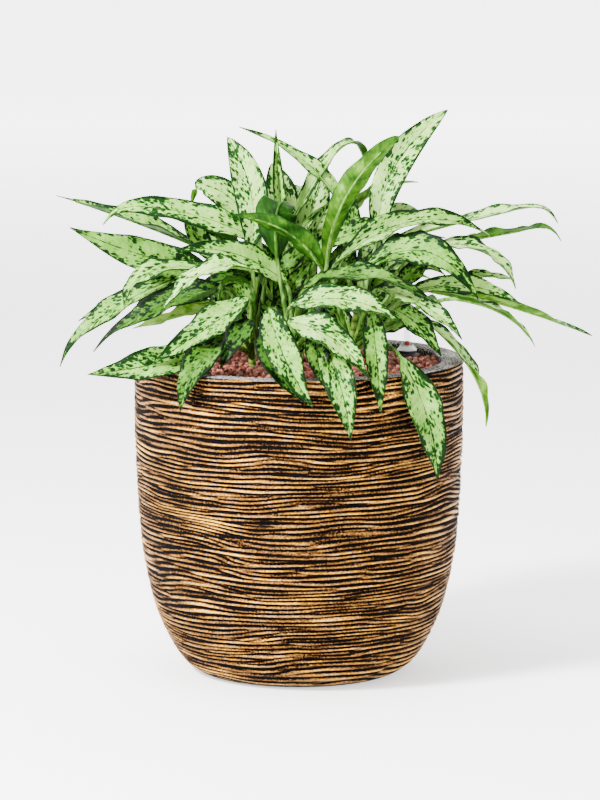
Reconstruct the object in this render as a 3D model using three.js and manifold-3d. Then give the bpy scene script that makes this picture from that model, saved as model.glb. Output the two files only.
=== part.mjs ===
// A silver-leaved Chinese evergreen growing in a ribbed, egg-shaped planter with a water gauge.
// Millimetres. +Z is up, the origin is the centre of the planter's foot, and the front looks along -Y.
import * as THREE from 'three';
import { mergeVertices } from 'three/addons/utils/BufferGeometryUtils.js';
import Module from 'manifold-3d';

const wasm = await Module();
wasm.setup();

// Planter: the outside from foot to rim as [radius, height], a thick wall, and a rounded rim
const PLANTER_HEIGHT = 410;
const PLANTER_OUTSIDE = [
  [126, 0], [139, 4], [156, 18], [174, 48], [189, 84], [200.5, 130],
  [208, 180], [212.5, 245], [215, 320], [215, PLANTER_HEIGHT - 8],
];
const WALL = 29;
const RIM_ROUND = 6;
const FLOOR_ROUND = 22;
const CAVITY_FLOOR = 34;
const CAVITY_HEIGHTS = [52, 90, 140, 220, 320];
const PLANTER_SIDES = 32;

// Ribs: ridges that run round the outside, wander a little and fade in and out
const RIB_COUNT = 20;
const RIB_FIRST = 20;
const RIB_LAST = 394;
const RIB_DEPTH = 3;
const RIB_WANDER = 2.6;

// Clay granules fill the cavity to just under the rim
const SOIL_TOP = 399;
const SOIL_RELIEF = 2.2;
const CLEARANCE = 0.35;

// Water gauge: a sleeve sunk in the granules, a clear window on it, and a float inside
const GAUGE_AT = [143, 75];
const SLEEVE_RADIUS = 13;
const SLEEVE_WALL = 1.6;
const SLEEVE_BOTTOM = 250;
const SLEEVE_TOP = 407;
const WINDOW_SHOULDER = 417;
const WINDOW_TOP = 468;
const WINDOW_RADIUS = 5;
const WINDOW_WALL = 1.1;
const FLOAT_TOP = 421;
const FLOAT_BODY = 62;

// Canes stand in plain holes in the granules
const CANE_RADIUS = 5.5;
const CANE_BOTTOM = 330;
const CANE_SIDES = 8;

// Leaves: blade thickness, how far each half is raised, and the ripple of the edges
const BLADE_THICKNESS = 0.9;
const BLADE_FOLD = 16;
const BLADE_RIPPLE = 0.12;
const BLADE_WAVES = 2.3;
const BLADE_STATIONS = [0, 0.11, 0.28, 0.48, 0.68, 0.86, 1];
const PETIOLE_RADIUS = 2.6;
const PETIOLE_STATIONS = [0, 0.35, 0.7];
const LOWEST_PETIOLE = 424;

// Colours
const GOLD = '#b98548';
const GRANULE_RED = '#a3553f';
const GAUGE_DARK = '#3b3b40';
const GAUGE_CLEAR = '#e4eaec';
const FLOAT_RED = '#c8371f';
const LEAF_GREEN = '#a9cc8a';

// Each shoot has its foot on the granules, its cane's top, and its leaves.
// A leaf has the base, middle and tip of its midrib, its greatest width, and the way its upper side looks.
// It may also have a fold (degrees that each half is raised), a curl (drop of its tip), a twist (degrees
// from base to tip), and a share of its length where it is widest or a taper of its own.
const SHOOTS = [
  {
    name: 'shoot_front_left',
    foot: [-60, -30],
    top: [-64, -42, 478],
    leaves: [
      { base: [-122, -15, 529], mid: [-199, -30, 522], tip: [-225, -35, 477], width: 36, face: [-1, -2, 3] },
      { base: [-63, -60, 534], mid: [-123, -75, 530], tip: [-175, -90, 481], width: 40, face: [-1, -2, 4] },
      { base: [-95, -45, 506], mid: [-172, -55, 487], tip: [-264, -65, 438], width: 42, face: [-2, -3, 3],
        curl: 12 },
      { base: [-109, -20, 484], mid: [-164, -25, 466], tip: [-215, -30, 452], width: 30, face: [0, 2, 3] },
      { base: [-65, -95, 500], mid: [-120, -125, 463], tip: [-184, -150, 424], width: 46, face: [-1, -2, 1] },
      { base: [-63, -58, 512], mid: [-94, -66, 516], tip: [-102, -78, 486], width: 26, face: [1, 1, 2] },
      { base: [-114, -96, 433], mid: [-187, -147, 421], tip: [-266, -154, 410], width: 46,
        face: [-1, -4, 2] },
      { base: [-78, -85, 452], mid: [-127, -165, 424], tip: [-149, -180, 366], width: 42, face: [-1, -3, 1] },
      { base: [-62, -110, 474], mid: [-80, -140, 453], tip: [-99, -158, 418], width: 34, face: [-1, -3, 1] },
      { base: [-48, -30, 528], mid: [-90, -32, 518], tip: [-142, -28, 502], width: 30, face: [0, -3, 2] },
    ],
  },
  {
    name: 'shoot_back_left',
    foot: [-55, 50],
    top: [-62, 42, 505],
    leaves: [
      { base: [-130, 45, 551], mid: [-226, 60, 586], tip: [-319, 70, 615], width: 36, face: [0, -1, 3],
        fold: 35, taper: 2 },
      { base: [-53, 20, 562], mid: [-150, 16, 598], tip: [-254, 5, 607], width: 38, face: [0, -3, 2],
        curl: 24, taper: 0.9 },
      { base: [-116, 15, 523], mid: [-204, 10, 543], tip: [-297, 0, 580], width: 48, face: [0, -3, 1] },
      { base: [-149, 10, 517], mid: [-246, 0, 471], tip: [-311, -10, 412], width: 36,
        face: [-1, -2, 2], curl: 13 },
      { base: [-150, 40, 502], mid: [-220, 38, 486], tip: [-289, 30, 454], width: 26, face: [0, -1, 1] },
      { base: [-54, 40, 577], mid: [-101, 45, 622], tip: [-141, 45, 630], width: 40, face: [-1, -2, 1],
        curl: 18, taper: 0.9 },
      { base: [-109, 28, 532], mid: [-135, 30, 571], tip: [-148, 33, 604], width: 28, face: [0, -3, 1] },
      { base: [-70, 40, 547], mid: [-109, 42, 565], tip: [-148, 44, 583], width: 30, face: [0, 2, 3] },
    ],
  },
  {
    name: 'shoot_front',
    foot: [-14, -60],
    top: [-8, -76, 468],
    leaves: [
      { base: [-16, -25, 510], mid: [-81, -35, 549], tip: [-159, -45, 556], width: 38, face: [-1, -3, 2] },
      { base: [-39, -130, 491], mid: [-18, -207, 439], tip: [17, -234, 380], width: 43, face: [0, -2, 1] },
      { base: [-44, -135, 463], mid: [-31, -198, 428], tip: [8, -224, 384], width: 30, face: [0, -2, 1] },
      { base: [-16, -168, 478], mid: [39, -195, 463], tip: [87, -212, 413], width: 46, face: [0, -1, 1] },
      { base: [-11, -120, 493], mid: [62, -150, 504], tip: [127, -165, 477], width: 44, face: [0, -1, 1] },
      { base: [29, -165, 457], mid: [52, -222, 403], tip: [64, -230, 339], width: 42, face: [0, -3, 1] },
      { base: [24, -145, 465], mid: [24, -195, 436], tip: [37, -218, 397], width: 32, face: [0, -2, 1] },
      { base: [30, -60, 533], mid: [-17, -85, 585], tip: [-91, -95, 606], width: 34, face: [1, 3, 2] },
      { base: [-28, -40, 546], mid: [-27, -62, 612], tip: [-4, -15, 603], width: 56, face: [0, 1, 0] },
      { base: [6, -85, 511], mid: [85, -105, 530], tip: [174, -120, 495], width: 42, face: [0, -2, 5] },
    ],
  },
  {
    name: 'shoot_middle',
    foot: [0, 10],
    top: [2, 8, 515],
    leaves: [
      { base: [-64, -5, 552], mid: [-62, 5, 624], tip: [-93, 30, 695], width: 46, face: [0, -1, 0],
        widest: 0.5, taper: 0.85 },
      { base: [-17, 10, 565], mid: [-26, 15, 634], tip: [-30, 25, 705], width: 28,
        face: [0, -1, 0], fold: 55 },
      { base: [-21, -15, 528], mid: [-3, -15, 545], tip: [30, -14, 568], width: 26, face: [0, -3, 2] },
      { base: [-32, -8, 476], mid: [-9, -10, 506], tip: [21, -16, 546], width: 28, face: [0, -3, 1] },
      { base: [1, 25, 561], mid: [12, 25, 585], tip: [35, 25, 607], width: 20, face: [0, -1, 0], fold: 55 },
      { base: [34, 2, 556], mid: [82, 10, 575], tip: [134, 14, 586], width: 36, face: [0, -1, 1] },
      { base: [35, -20, 532], mid: [60, -45, 625], tip: [127, -60, 703], width: 34, face: [-1, 3, 1],
        widest: 0.58, taper: 0.65 },
      { base: [60, 12, 534], mid: [68, 17, 577], tip: [74, 20, 616], width: 30, face: [0, -4, 1] },
    ],
  },
  {
    name: 'shoot_back',
    foot: [10, 75],
    top: [10, 78, 520],
    leaves: [
      { base: [-18, 20, 568], mid: [58, 65, 682], tip: [92, 110, 632], width: 30, face: [0, 0, 1] },
      { base: [-21, 42, 553], mid: [-22, 56, 606], tip: [-36, 72, 657], width: 46, face: [0, -1, 0],
        widest: 0.5, taper: 0.8 },
      { base: [5, 60, 544], mid: [18, 75, 602], tip: [38, 90, 661], width: 50, face: [0, -4, 1] },
      { base: [72, 27, 573], mid: [18, 34, 654], tip: [-78, 55, 706], width: 29, face: [2, -2, 2] },
      { base: [17, 40, 559], mid: [25, 42, 580], tip: [40, 45, 606], width: 28, face: [0, -3, 1] },
    ],
  },
  {
    name: 'shoot_front_right',
    foot: [65, -30],
    top: [74, -48, 485],
    leaves: [
      { base: [103, -90, 512], mid: [164, -120, 490], tip: [206, -140, 452], width: 30, face: [1, -2, 2] },
      { base: [123, -60, 480], mid: [152, -75, 462], tip: [182, -90, 424], width: 36, face: [1, -3, 2] },
      { base: [166, -50, 465], mid: [225, -62, 398], tip: [241, -65, 329], width: 34,
        face: [2, 0, 1], twist: -90 },
      { base: [128, -172, 434], mid: [163, -168, 353], tip: [175, -160, 275], width: 46, face: [1, -4, 1] },
      { base: [91, -120, 487], mid: [97, -188, 435], tip: [102, -202, 367], width: 32, face: [0, -2, 1] },
      { base: [87, -30, 533], mid: [166, -60, 554], tip: [229, -85, 496], width: 48, face: [0, -3, 2] },
      { base: [95, -6, 535], mid: [121, -12, 552], tip: [147, -16, 539], width: 28, face: [0, 1, 2] },
      { base: [45, -25, 535], mid: [151, -10, 590], tip: [251, 0, 567], width: 42,
        face: [0, 0, 1], fold: 30 },
      { base: [131, -30, 512], mid: [149, -30, 526], tip: [172, -30, 543], width: 28, face: [0, -2, 1] },
      { base: [147, -20, 500], mid: [219, -30, 507], tip: [286, -40, 485], width: 34, face: [0, -1, 1] },
      { base: [201, -50, 495], mid: [265, -50, 473], tip: [304, -50, 431], width: 26, face: [0, 0, 1] },
    ],
  },
  {
    name: 'shoot_back_right',
    foot: [70, 45],
    top: [80, 48, 505],
    leaves: [
      { base: [185, 20, 557], mid: [266, 25, 570], tip: [342, 30, 582], width: 26,
        face: [0, 1, 4], curl: 18 },
      { base: [127, 70, 558], mid: [246, 60, 590], tip: [339, 50, 606], width: 30,
        face: [0, -1, 4], curl: 26 },
      { base: [112, 18, 559], mid: [151, 14, 567], tip: [191, 10, 565], width: 26, face: [0, 1, 3] },
      { base: [163, -10, 556], mid: [239, -15, 551], tip: [280, -20, 502], width: 36, face: [1, -1, 3] },
      { base: [104, 34, 560], mid: [123, 52, 650], tip: [195, 75, 727], width: 42, face: [0, -5, 1],
        widest: 0.5, taper: 0.85 },
      { base: [151, -2, 505], mid: [262, 2, 481], tip: [382, 0, 438], width: 34, face: [0, 1, 2] },
      { base: [197, 20, 511], mid: [242, 20, 515], tip: [281, 20, 509], width: 20, face: [0, -1, 2] },
      { base: [127, 60, 528], mid: [157, 60, 529], tip: [192, 60, 511], width: 34, face: [0, -3, 4] },
      { base: [107, 60, 566], mid: [130, 60, 592], tip: [158, 60, 595], width: 30, face: [0, -2, 1] },
      { base: [53, 58, 570], mid: [95, 62, 619], tip: [157, 74, 632], width: 30, face: [0, 2, 3] },
    ],
  },
];

// The side turned away carries more leaves of the same kind, spread by a golden-angle rule:
// the shoot's index, how many, the compass range in degrees (90 is straight back) and the highest start
const BACK_LEAVES = [
  { shoot: 1, count: 5, from: 88, to: 150, highest: 515 },
  { shoot: 4, count: 6, from: 76, to: 134, highest: 560 },
  { shoot: 6, count: 5, from: 44, to: 80, highest: 498 },
];

const vector = (list) => new THREE.Vector3(...list);

// One of the leaves on the side turned away: low ones reach far and hang, high ones stand up
function backLeaf(shoot, group, index) {
  const level = index / (group.count - 1);
  const share = (index * 0.618 + 0.2) % 1;
  const bearing = THREE.MathUtils.degToRad(group.from + (group.to - group.from) * share);
  const vary = Math.sin(2.4 * index + group.from);
  const mix = (low, high) => low + (high - low) * level;
  const place = (reach, height, turn = 0) => [
    shoot.foot[0] + reach * Math.cos(bearing + turn),
    shoot.foot[1] + reach * Math.sin(bearing + turn),
    height,
  ];
  const start = mix(446, group.highest);
  return {
    base: place(mix(62, 34), start),
    mid: place(mix(146, 92) + 6 * vary, start + mix(18, 44) + 5 * vary),
    tip: place(mix(222, 158) + 10 * vary, start + mix(-30, 52) - 8 * vary, 0.12 * vary),
    width: mix(46, 36),
    face: [0.5 * vary - Math.cos(bearing) * level, -Math.sin(bearing) * level, 1],
  };
}

for (const group of BACK_LEAVES) {
  const shoot = SHOOTS[group.shoot];
  for (let index = 0; index < group.count; index += 1) {
    shoot.leaves.push(backLeaf(shoot, group, index));
  }
}

// A closed geometry whose shared corners are merged and whose flat triangles are dropped
function closed(geometry) {
  geometry.deleteAttribute('normal');
  geometry.deleteAttribute('uv');
  const merged = mergeVertices(geometry, 1e-3);
  const corners = merged.index.array;
  const kept = [];
  for (let i = 0; i < corners.length; i += 3) {
    const [a, b, c] = corners.slice(i, i + 3);
    if (a !== b && b !== c && c !== a) kept.push(a, b, c);
  }
  merged.setIndex(kept);
  return merged;
}

function toSolid(geometry) {
  const mesh = new wasm.Mesh({
    numProp: 3,
    vertProperties: new Float32Array(geometry.attributes.position.array),
    triVerts: new Uint32Array(geometry.index.array),
  });
  return new wasm.Manifold(mesh);
}

function toGeometry(solid) {
  const mesh = solid.getMesh();
  const geometry = new THREE.BufferGeometry();
  geometry.setAttribute('position', new THREE.BufferAttribute(mesh.vertProperties, 3));
  geometry.setIndex(new THREE.BufferAttribute(mesh.triVerts, 1));
  return geometry;
}

// A solid skin over a row of rings. Rings turn clockwise seen from the first one.
// The second half of each ring is split the other way, so that a thin blade's two faces match.
function loft(rings, capTriangles) {
  const count = rings[0].length;
  const positions = rings.flat().flatMap((p) => [p.x, p.y, p.z]);
  const faces = [];
  for (let i = 0; i + 1 < rings.length; i += 1) {
    for (let j = 0; j < count; j += 1) {
      const a = i * count + j;
      const b = i * count + ((j + 1) % count);
      const c = b + count;
      const d = a + count;
      if (j < count / 2) faces.push(a, b, c, a, c, d);
      else faces.push(a, b, d, b, c, d);
    }
  }
  const last = (rings.length - 1) * count;
  for (const [a, b, c] of capTriangles) {
    faces.push(a, c, b);
    faces.push(last + a, last + b, last + c);
  }
  const geometry = new THREE.BufferGeometry();
  geometry.setAttribute('position', new THREE.Float32BufferAttribute(positions, 3));
  geometry.setIndex(faces);
  return geometry;
}

const LEAF_CAP = [[0, 1, 4], [0, 4, 5], [1, 2, 3], [1, 3, 4]];

// The midrib of a leaf: a curve through its base, middle and tip, with the last part curled down
function midribPoint(leaf, t) {
  const base = vector(leaf.base);
  const tip = vector(leaf.tip);
  const bend = vector(leaf.mid).multiplyScalar(2).addScaledVector(base, -0.5).addScaledVector(tip, -0.5);
  const point = new THREE.QuadraticBezierCurve3(base, bend, tip).getPoint(t);
  const curlStart = 0.75;
  const curled = Math.max(0, (t - curlStart) / (1 - curlStart));
  point.z -= (leaf.curl ?? 0) * curled * curled;
  return point;
}

// Directions at a place on the midrib: along it, across the blade, and out of its upper side
function midribFrame(leaf, t) {
  const step = 0.01;
  const along = midribPoint(leaf, Math.min(1, t + step)).sub(midribPoint(leaf, Math.max(0, t - step)));
  along.normalize();
  const chord = vector(leaf.tip).sub(vector(leaf.base));
  const across = chord.cross(vector(leaf.face)).normalize();
  across.addScaledVector(along, -across.dot(along)).normalize();
  const twist = THREE.MathUtils.degToRad(leaf.twist ?? 0) * (t - 0.5);
  across.applyAxisAngle(along, twist);
  const up = across.clone().cross(along);
  return { along, across, up };
}

// Half the width of a blade: round near the base, widest before the middle, drawn out at the tip
function halfWidth(leaf, t) {
  const widest = leaf.widest ?? 0.39;
  const fall = leaf.taper ?? 1.25;
  const rise = (fall * widest) / (1 - widest);
  const peak = widest ** rise * (1 - widest) ** fall;
  const least = 0.8 + 1.2 * (1 - t);
  return least + (leaf.width / 2 - least) * ((t ** rise * (1 - t) ** fall) / peak);
}

// One ring across a blade: left edge, midrib and right edge above, then the same three below
function bladeRing(leaf, number, t) {
  const { across, up } = midribFrame(leaf, t);
  const middle = midribPoint(leaf, t);
  const half = halfWidth(leaf, t);
  const fold = THREE.MathUtils.degToRad(leaf.fold ?? BLADE_FOLD);
  const edge = (side) => {
    const wave = Math.sin(2 * Math.PI * BLADE_WAVES * t + 1.7 * number + 2 * side);
    return middle.clone()
      .addScaledVector(across, side * half * Math.cos(fold))
      .addScaledVector(up, half * (Math.sin(fold) + BLADE_RIPPLE * wave));
  };
  const lift = BLADE_THICKNESS / 2;
  const rib = PETIOLE_RADIUS * 0.8 * Math.max(0, 1 - t / 0.6);
  const upper = [edge(-1), middle, edge(1)].map((p) => p.clone().addScaledVector(up, lift));
  const under = [edge(1), middle, edge(-1)].map((p) => p.clone().addScaledVector(up, -lift));
  upper[1].addScaledVector(up, rib * 0.3);
  under[1].addScaledVector(up, -rib);
  return [...upper, ...under];
}

// A petiole leaves its cane well below the blade and bends over into the midrib
function petioleCurve(shoot, leaf) {
  const base = vector(leaf.base);
  const foot = vector([...shoot.foot, SOIL_TOP]);
  const top = vector(shoot.top);
  const reach = Math.hypot(base.x - top.x, base.y - top.y);
  const height = THREE.MathUtils.clamp(base.z - 0.55 * reach - 18, LOWEST_PETIOLE, top.z - 4);
  const start = foot.clone().lerp(top, (height - foot.z) / (top.z - foot.z));
  const length = start.distanceTo(base);
  const outwards = base.clone().sub(start).setZ(0).normalize();
  const departure = outwards.multiplyScalar(0.5).add(top.sub(foot).normalize()).normalize();
  const { along } = midribFrame(leaf, 0);
  return new THREE.CubicBezierCurve3(
    start,
    start.clone().addScaledVector(departure, 0.35 * length),
    base.clone().addScaledVector(along, -0.35 * length),
    base,
  );
}

function petioleRings(shoot, leaf) {
  const curve = petioleCurve(shoot, leaf);
  const { across } = midribFrame(leaf, 0);
  const rings = [...PETIOLE_STATIONS].reverse().map((t) => {
    const along = curve.getTangent(t);
    across.addScaledVector(along, -across.dot(along)).normalize();
    const up = across.clone().cross(along);
    const radius = PETIOLE_RADIUS * (1.15 - 0.35 * t);
    return [150, 90, 30, -30, -90, -150].map((degrees) => {
      const angle = THREE.MathUtils.degToRad(degrees);
      return curve.getPoint(t)
        .addScaledVector(across, radius * Math.cos(angle))
        .addScaledVector(up, radius * Math.sin(angle));
    });
  });
  return rings.reverse();
}

function leafSolid(shoot, leaf, number) {
  const bladeRings = BLADE_STATIONS.map((t) => bladeRing(leaf, number, t));
  return toSolid(loft([...petioleRings(shoot, leaf), ...bladeRings], LEAF_CAP));
}

// A cane is a rod that stands straight in its hole and leans above it
function cane(shoot) {
  const [x, y] = shoot.foot;
  const top = vector(shoot.top);
  const collar = vector([x, y, SOIL_TOP + SOIL_RELIEF + 3]);
  const points = [vector([x, y, CANE_BOTTOM]), collar, collar.clone().lerp(top, 0.5), top];
  const radii = [CANE_RADIUS, CANE_RADIUS, CANE_RADIUS * 0.95, CANE_RADIUS * 0.75];
  const rings = points.map((point, i) => Array.from({ length: CANE_SIDES }, (_, k) => {
    const angle = (2 * Math.PI * k) / CANE_SIDES;
    return new THREE.Vector3(radii[i] * Math.cos(angle), radii[i] * Math.sin(angle), 0).add(point);
  }));
  const cap = Array.from({ length: CANE_SIDES - 2 }, (_, i) => [0, i + 1, i + 2]);
  return toSolid(loft(rings, cap));
}

// A whole shoot as one body: its cane with every leaf grown onto it
function shootSolid(shoot) {
  return wasm.Manifold.union([
    cane(shoot),
    ...shoot.leaves.map((leaf, number) => leafSolid(shoot, leaf, number)),
  ]);
}

// The planter's smooth outside radius at a height
const outsideCurve = new THREE.SplineCurve(PLANTER_OUTSIDE.map(([r, z]) => new THREE.Vector2(r, z)));
const outsideSamples = outsideCurve.getPoints(200);

function outsideRadius(z) {
  const next = outsideSamples.findIndex((p) => p.y >= z);
  if (next <= 0) return outsideSamples[next === 0 ? 0 : outsideSamples.length - 1].x;
  const a = outsideSamples[next - 1];
  const b = outsideSamples[next];
  return a.x + ((b.x - a.x) * (z - a.y)) / (b.y - a.y);
}

// Heights of the crests and grooves, with a row of points on each
function ribRows() {
  const spacing = (RIB_LAST - RIB_FIRST) / (RIB_COUNT * 2);
  return Array.from({ length: RIB_COUNT * 2 + 1 }, (_, row) => ({ z: RIB_FIRST + spacing * row, row }));
}

function ribShape(angle, row) {
  const rib = Math.floor((row + 1) / 2);
  const wander = Math.sin(2 * angle + 0.9 * rib) + 0.6 * Math.sin(5 * angle - 0.55 * rib);
  const fade = 0.7 + 0.3 * Math.sin(3 * angle + 2.1 * rib);
  const isGroove = row % 2 === 1;
  return { rise: RIB_WANDER * wander * 0.6, depth: isGroove ? RIB_DEPTH * fade : 0 };
}

function planter() {
  const rows = ribRows();
  const inside = (z) => outsideRadius(z) - WALL;
  const rimOuter = outsideRadius(PLANTER_HEIGHT);
  const profile = [
    [0, 0], [PLANTER_OUTSIDE[0][0], 0], [PLANTER_OUTSIDE[1][0], PLANTER_OUTSIDE[1][1]],
    ...rows.map(({ z }) => [outsideRadius(z), z]),
    [rimOuter - 0.4, PLANTER_HEIGHT - RIM_ROUND], [rimOuter - RIM_ROUND, PLANTER_HEIGHT],
    [rimOuter - WALL + RIM_ROUND * 0.6, PLANTER_HEIGHT], [rimOuter - WALL, PLANTER_HEIGHT - RIM_ROUND * 0.6],
    ...CAVITY_HEIGHTS.map((z) => [inside(z), z]).reverse(),
    [inside(CAVITY_HEIGHTS[0]) - FLOOR_ROUND, CAVITY_FLOOR], [0, CAVITY_FLOOR],
  ].map(([r, z]) => new THREE.Vector2(r, z));
  const geometry = new THREE.LatheGeometry(profile, PLANTER_SIDES);
  const position = geometry.attributes.position;
  const firstRib = 3;
  const rowCount = profile.length;
  for (let i = 0; i < position.count; i += 1) {
    const row = (i % rowCount) - firstRib;
    if (row > 0 && row < rows.length - 1) {
      const x = position.getX(i);
      const z = position.getZ(i);
      const angle = Math.atan2(z, x);
      const { rise, depth } = ribShape(angle, row);
      const height = position.getY(i) + rise;
      const radius = outsideRadius(height) - depth;
      position.setXYZ(i, radius * Math.cos(angle), height, radius * Math.sin(angle));
    }
  }
  geometry.rotateX(Math.PI / 2);
  return closed(geometry);
}

// Height of the granules' uneven top
function soilHeight(x, y) {
  const lumps = Math.sin(0.31 * x + 1.3) * Math.sin(0.27 * y + 0.4) + Math.sin(0.17 * x - 0.23 * y);
  return SOIL_TOP + (SOIL_RELIEF / 2) * lumps;
}

function hole(x, y, bottom, radius, sides) {
  const height = SOIL_TOP + 30 - bottom;
  const geometry = new THREE.CylinderGeometry(radius, radius, height, sides);
  geometry.rotateX(Math.PI / 2);
  geometry.rotateZ(Math.PI / sides);
  geometry.translate(x, y, bottom + height / 2);
  return toSolid(closed(geometry));
}

function substrate() {
  const inside = (z) => outsideRadius(z) - WALL - CLEARANCE - 0.3;
  const topRings = [0.97, 0.82, 0.66, 0.5, 0.33, 0.16];
  const rimRadius = inside(SOIL_TOP);
  const profile = [
    [0, CAVITY_FLOOR + CLEARANCE], [inside(CAVITY_HEIGHTS[0]) - FLOOR_ROUND, CAVITY_FLOOR + CLEARANCE],
    ...CAVITY_HEIGHTS.map((z) => [inside(z), z]),
    [rimRadius, SOIL_TOP - 4],
    ...topRings.map((share) => [rimRadius * share, SOIL_TOP]),
    [0, SOIL_TOP],
  ].map(([r, z]) => new THREE.Vector2(r, z));
  const geometry = new THREE.LatheGeometry(profile, PLANTER_SIDES);
  const position = geometry.attributes.position;
  for (let i = 0; i < position.count; i += 1) {
    if (position.getY(i) > SOIL_TOP - 1) position.setY(i, soilHeight(position.getX(i), -position.getZ(i)));
  }
  geometry.rotateX(Math.PI / 2);
  let bed = toSolid(closed(geometry));
  for (const shoot of SHOOTS) {
    const [x, y] = shoot.foot;
    bed = bed.subtract(hole(x, y, CANE_BOTTOM - CLEARANCE, CANE_RADIUS * 1.09 + CLEARANCE, CANE_SIDES));
  }
  const [x, y] = GAUGE_AT;
  bed = bed.subtract(hole(x, y, SLEEVE_BOTTOM - CLEARANCE, SLEEVE_RADIUS + 2 * CLEARANCE, 20));
  return toGeometry(bed);
}

// Turned parts of the water gauge, upright about their own axis
function turned(profile, sides) {
  const geometry = new THREE.LatheGeometry(profile.map(([r, z]) => new THREE.Vector2(r, z)), sides);
  geometry.rotateX(Math.PI / 2);
  return closed(geometry);
}

function gaugeSleeve() {
  const bore = SLEEVE_RADIUS - SLEEVE_WALL;
  return turned([
    [0, SLEEVE_BOTTOM], [SLEEVE_RADIUS, SLEEVE_BOTTOM], [SLEEVE_RADIUS, SLEEVE_TOP],
    [bore, SLEEVE_TOP], [bore, SLEEVE_BOTTOM + 2], [0, SLEEVE_BOTTOM + 2],
  ], 20);
}

function gaugeWindow() {
  const spigot = SLEEVE_RADIUS - SLEEVE_WALL - CLEARANCE;
  const seat = SLEEVE_TOP + 0.3;
  const bore = WINDOW_RADIUS - WINDOW_WALL;
  return turned([
    [0, WINDOW_TOP], [WINDOW_RADIUS, WINDOW_TOP - 1.5], [WINDOW_RADIUS, WINDOW_SHOULDER + 1],
    [SLEEVE_RADIUS, seat + 1.2], [SLEEVE_RADIUS, seat], [spigot, seat], [spigot, seat - 7],
    [spigot - 1.2, seat - 7], [spigot - 1.2, seat + 0.5], [bore, WINDOW_SHOULDER - 1],
    [bore, WINDOW_TOP - 3], [0, WINDOW_TOP - 3],
  ].reverse(), 12);
}

function gaugeFloat() {
  const rest = SLEEVE_BOTTOM + 2.3;
  return turned([
    [0, rest], [7.5, rest], [9, rest + 3], [9, rest + FLOAT_BODY - 3], [7.5, rest + FLOAT_BODY],
    [1.1, rest + FLOAT_BODY + 1], [1.1, FLOAT_TOP - 12], [1.65, FLOAT_TOP - 11],
    [1.65, FLOAT_TOP - 0.5], [0, FLOAT_TOP],
  ], 12);
}

function named(name, geometry, color, roughness, metalness = 0) {
  const mesh = new THREE.Mesh(geometry, new THREE.MeshStandardMaterial({ color, roughness, metalness }));
  mesh.name = name;
  return mesh;
}

const plant = new THREE.Group();
plant.add(named('planter', planter(), GOLD, 0.6));
plant.add(named('substrate', substrate(), GRANULE_RED, 0.9));

const gauge = new THREE.Group();
gauge.position.set(GAUGE_AT[0], GAUGE_AT[1], 0);
gauge.add(named('gauge_sleeve', gaugeSleeve(), GAUGE_DARK, 0.5));
gauge.add(named('gauge_window', gaugeWindow(), GAUGE_CLEAR, 0.15));
gauge.add(named('gauge_float', gaugeFloat(), FLOAT_RED, 0.4));
plant.add(gauge);

for (const shoot of SHOOTS) {
  plant.add(named(shoot.name, toGeometry(shootSolid(shoot)), LEAF_GREEN, 0.55));
}

export default plant;
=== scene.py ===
# %% [markdown]
# A potted Chinese evergreen with silver leaves, in a ribbed planter with a water gauge
#
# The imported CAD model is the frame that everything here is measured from. It has the true sizes,
# but its ribs and leaves are coarse. Each piece below keeps the place of its CAD solid and gets
# the finer shape and the finish of the real thing. The object's sizes are in millimetres, and MM
# turns them into metres. The stage, the lights and the camera are in metres.

# %% Load the frame
import math
import random
from functools import partial

import bmesh
import bpy
from mathutils import Matrix, Vector, noise


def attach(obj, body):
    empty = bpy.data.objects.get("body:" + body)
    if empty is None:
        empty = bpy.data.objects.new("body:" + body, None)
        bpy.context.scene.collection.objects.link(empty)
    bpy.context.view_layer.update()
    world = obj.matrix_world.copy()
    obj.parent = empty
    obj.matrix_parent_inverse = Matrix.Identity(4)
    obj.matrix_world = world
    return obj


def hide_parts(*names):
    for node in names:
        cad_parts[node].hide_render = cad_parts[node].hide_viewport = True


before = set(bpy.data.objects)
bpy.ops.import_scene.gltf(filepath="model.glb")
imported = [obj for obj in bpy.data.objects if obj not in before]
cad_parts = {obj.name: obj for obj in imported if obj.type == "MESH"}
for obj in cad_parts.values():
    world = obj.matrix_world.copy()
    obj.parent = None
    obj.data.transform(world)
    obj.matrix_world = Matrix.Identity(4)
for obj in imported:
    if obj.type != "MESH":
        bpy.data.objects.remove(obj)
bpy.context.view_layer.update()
MM = 0.001
TURN = 2 * math.pi

# %% [markdown]
# The planter
#
# The real planter is cast in a mould from a stone-like composite: a thick wall, a plain grey rim,
# and about sixty ribs that run round it, lean, fork and close up again. Gold paint was wiped over
# them, so it stays on the crests, and the grooves between stay black, deepened by painted shade.
#
# The body is a turned form, so one outline spun about the axis gives it. The ribs could be a
# texture alone, but then the outline of the planter would be smooth, and light would not catch on
# the crests. So a formula lowers the grooves, and its value is kept on each corner for the paint
# to follow.


# %% Planter: the curve of its outside
PLANTER_HEIGHT = 410
PLANTER_OUTSIDE = [  # radius and height, from the foot up
    (126, 0), (139, 4), (156, 18), (174, 48), (189, 84), (200.5, 130),
    (208, 180), (212.5, 245), (215, 320), (215, 402), (214.8, 410),
]


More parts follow.
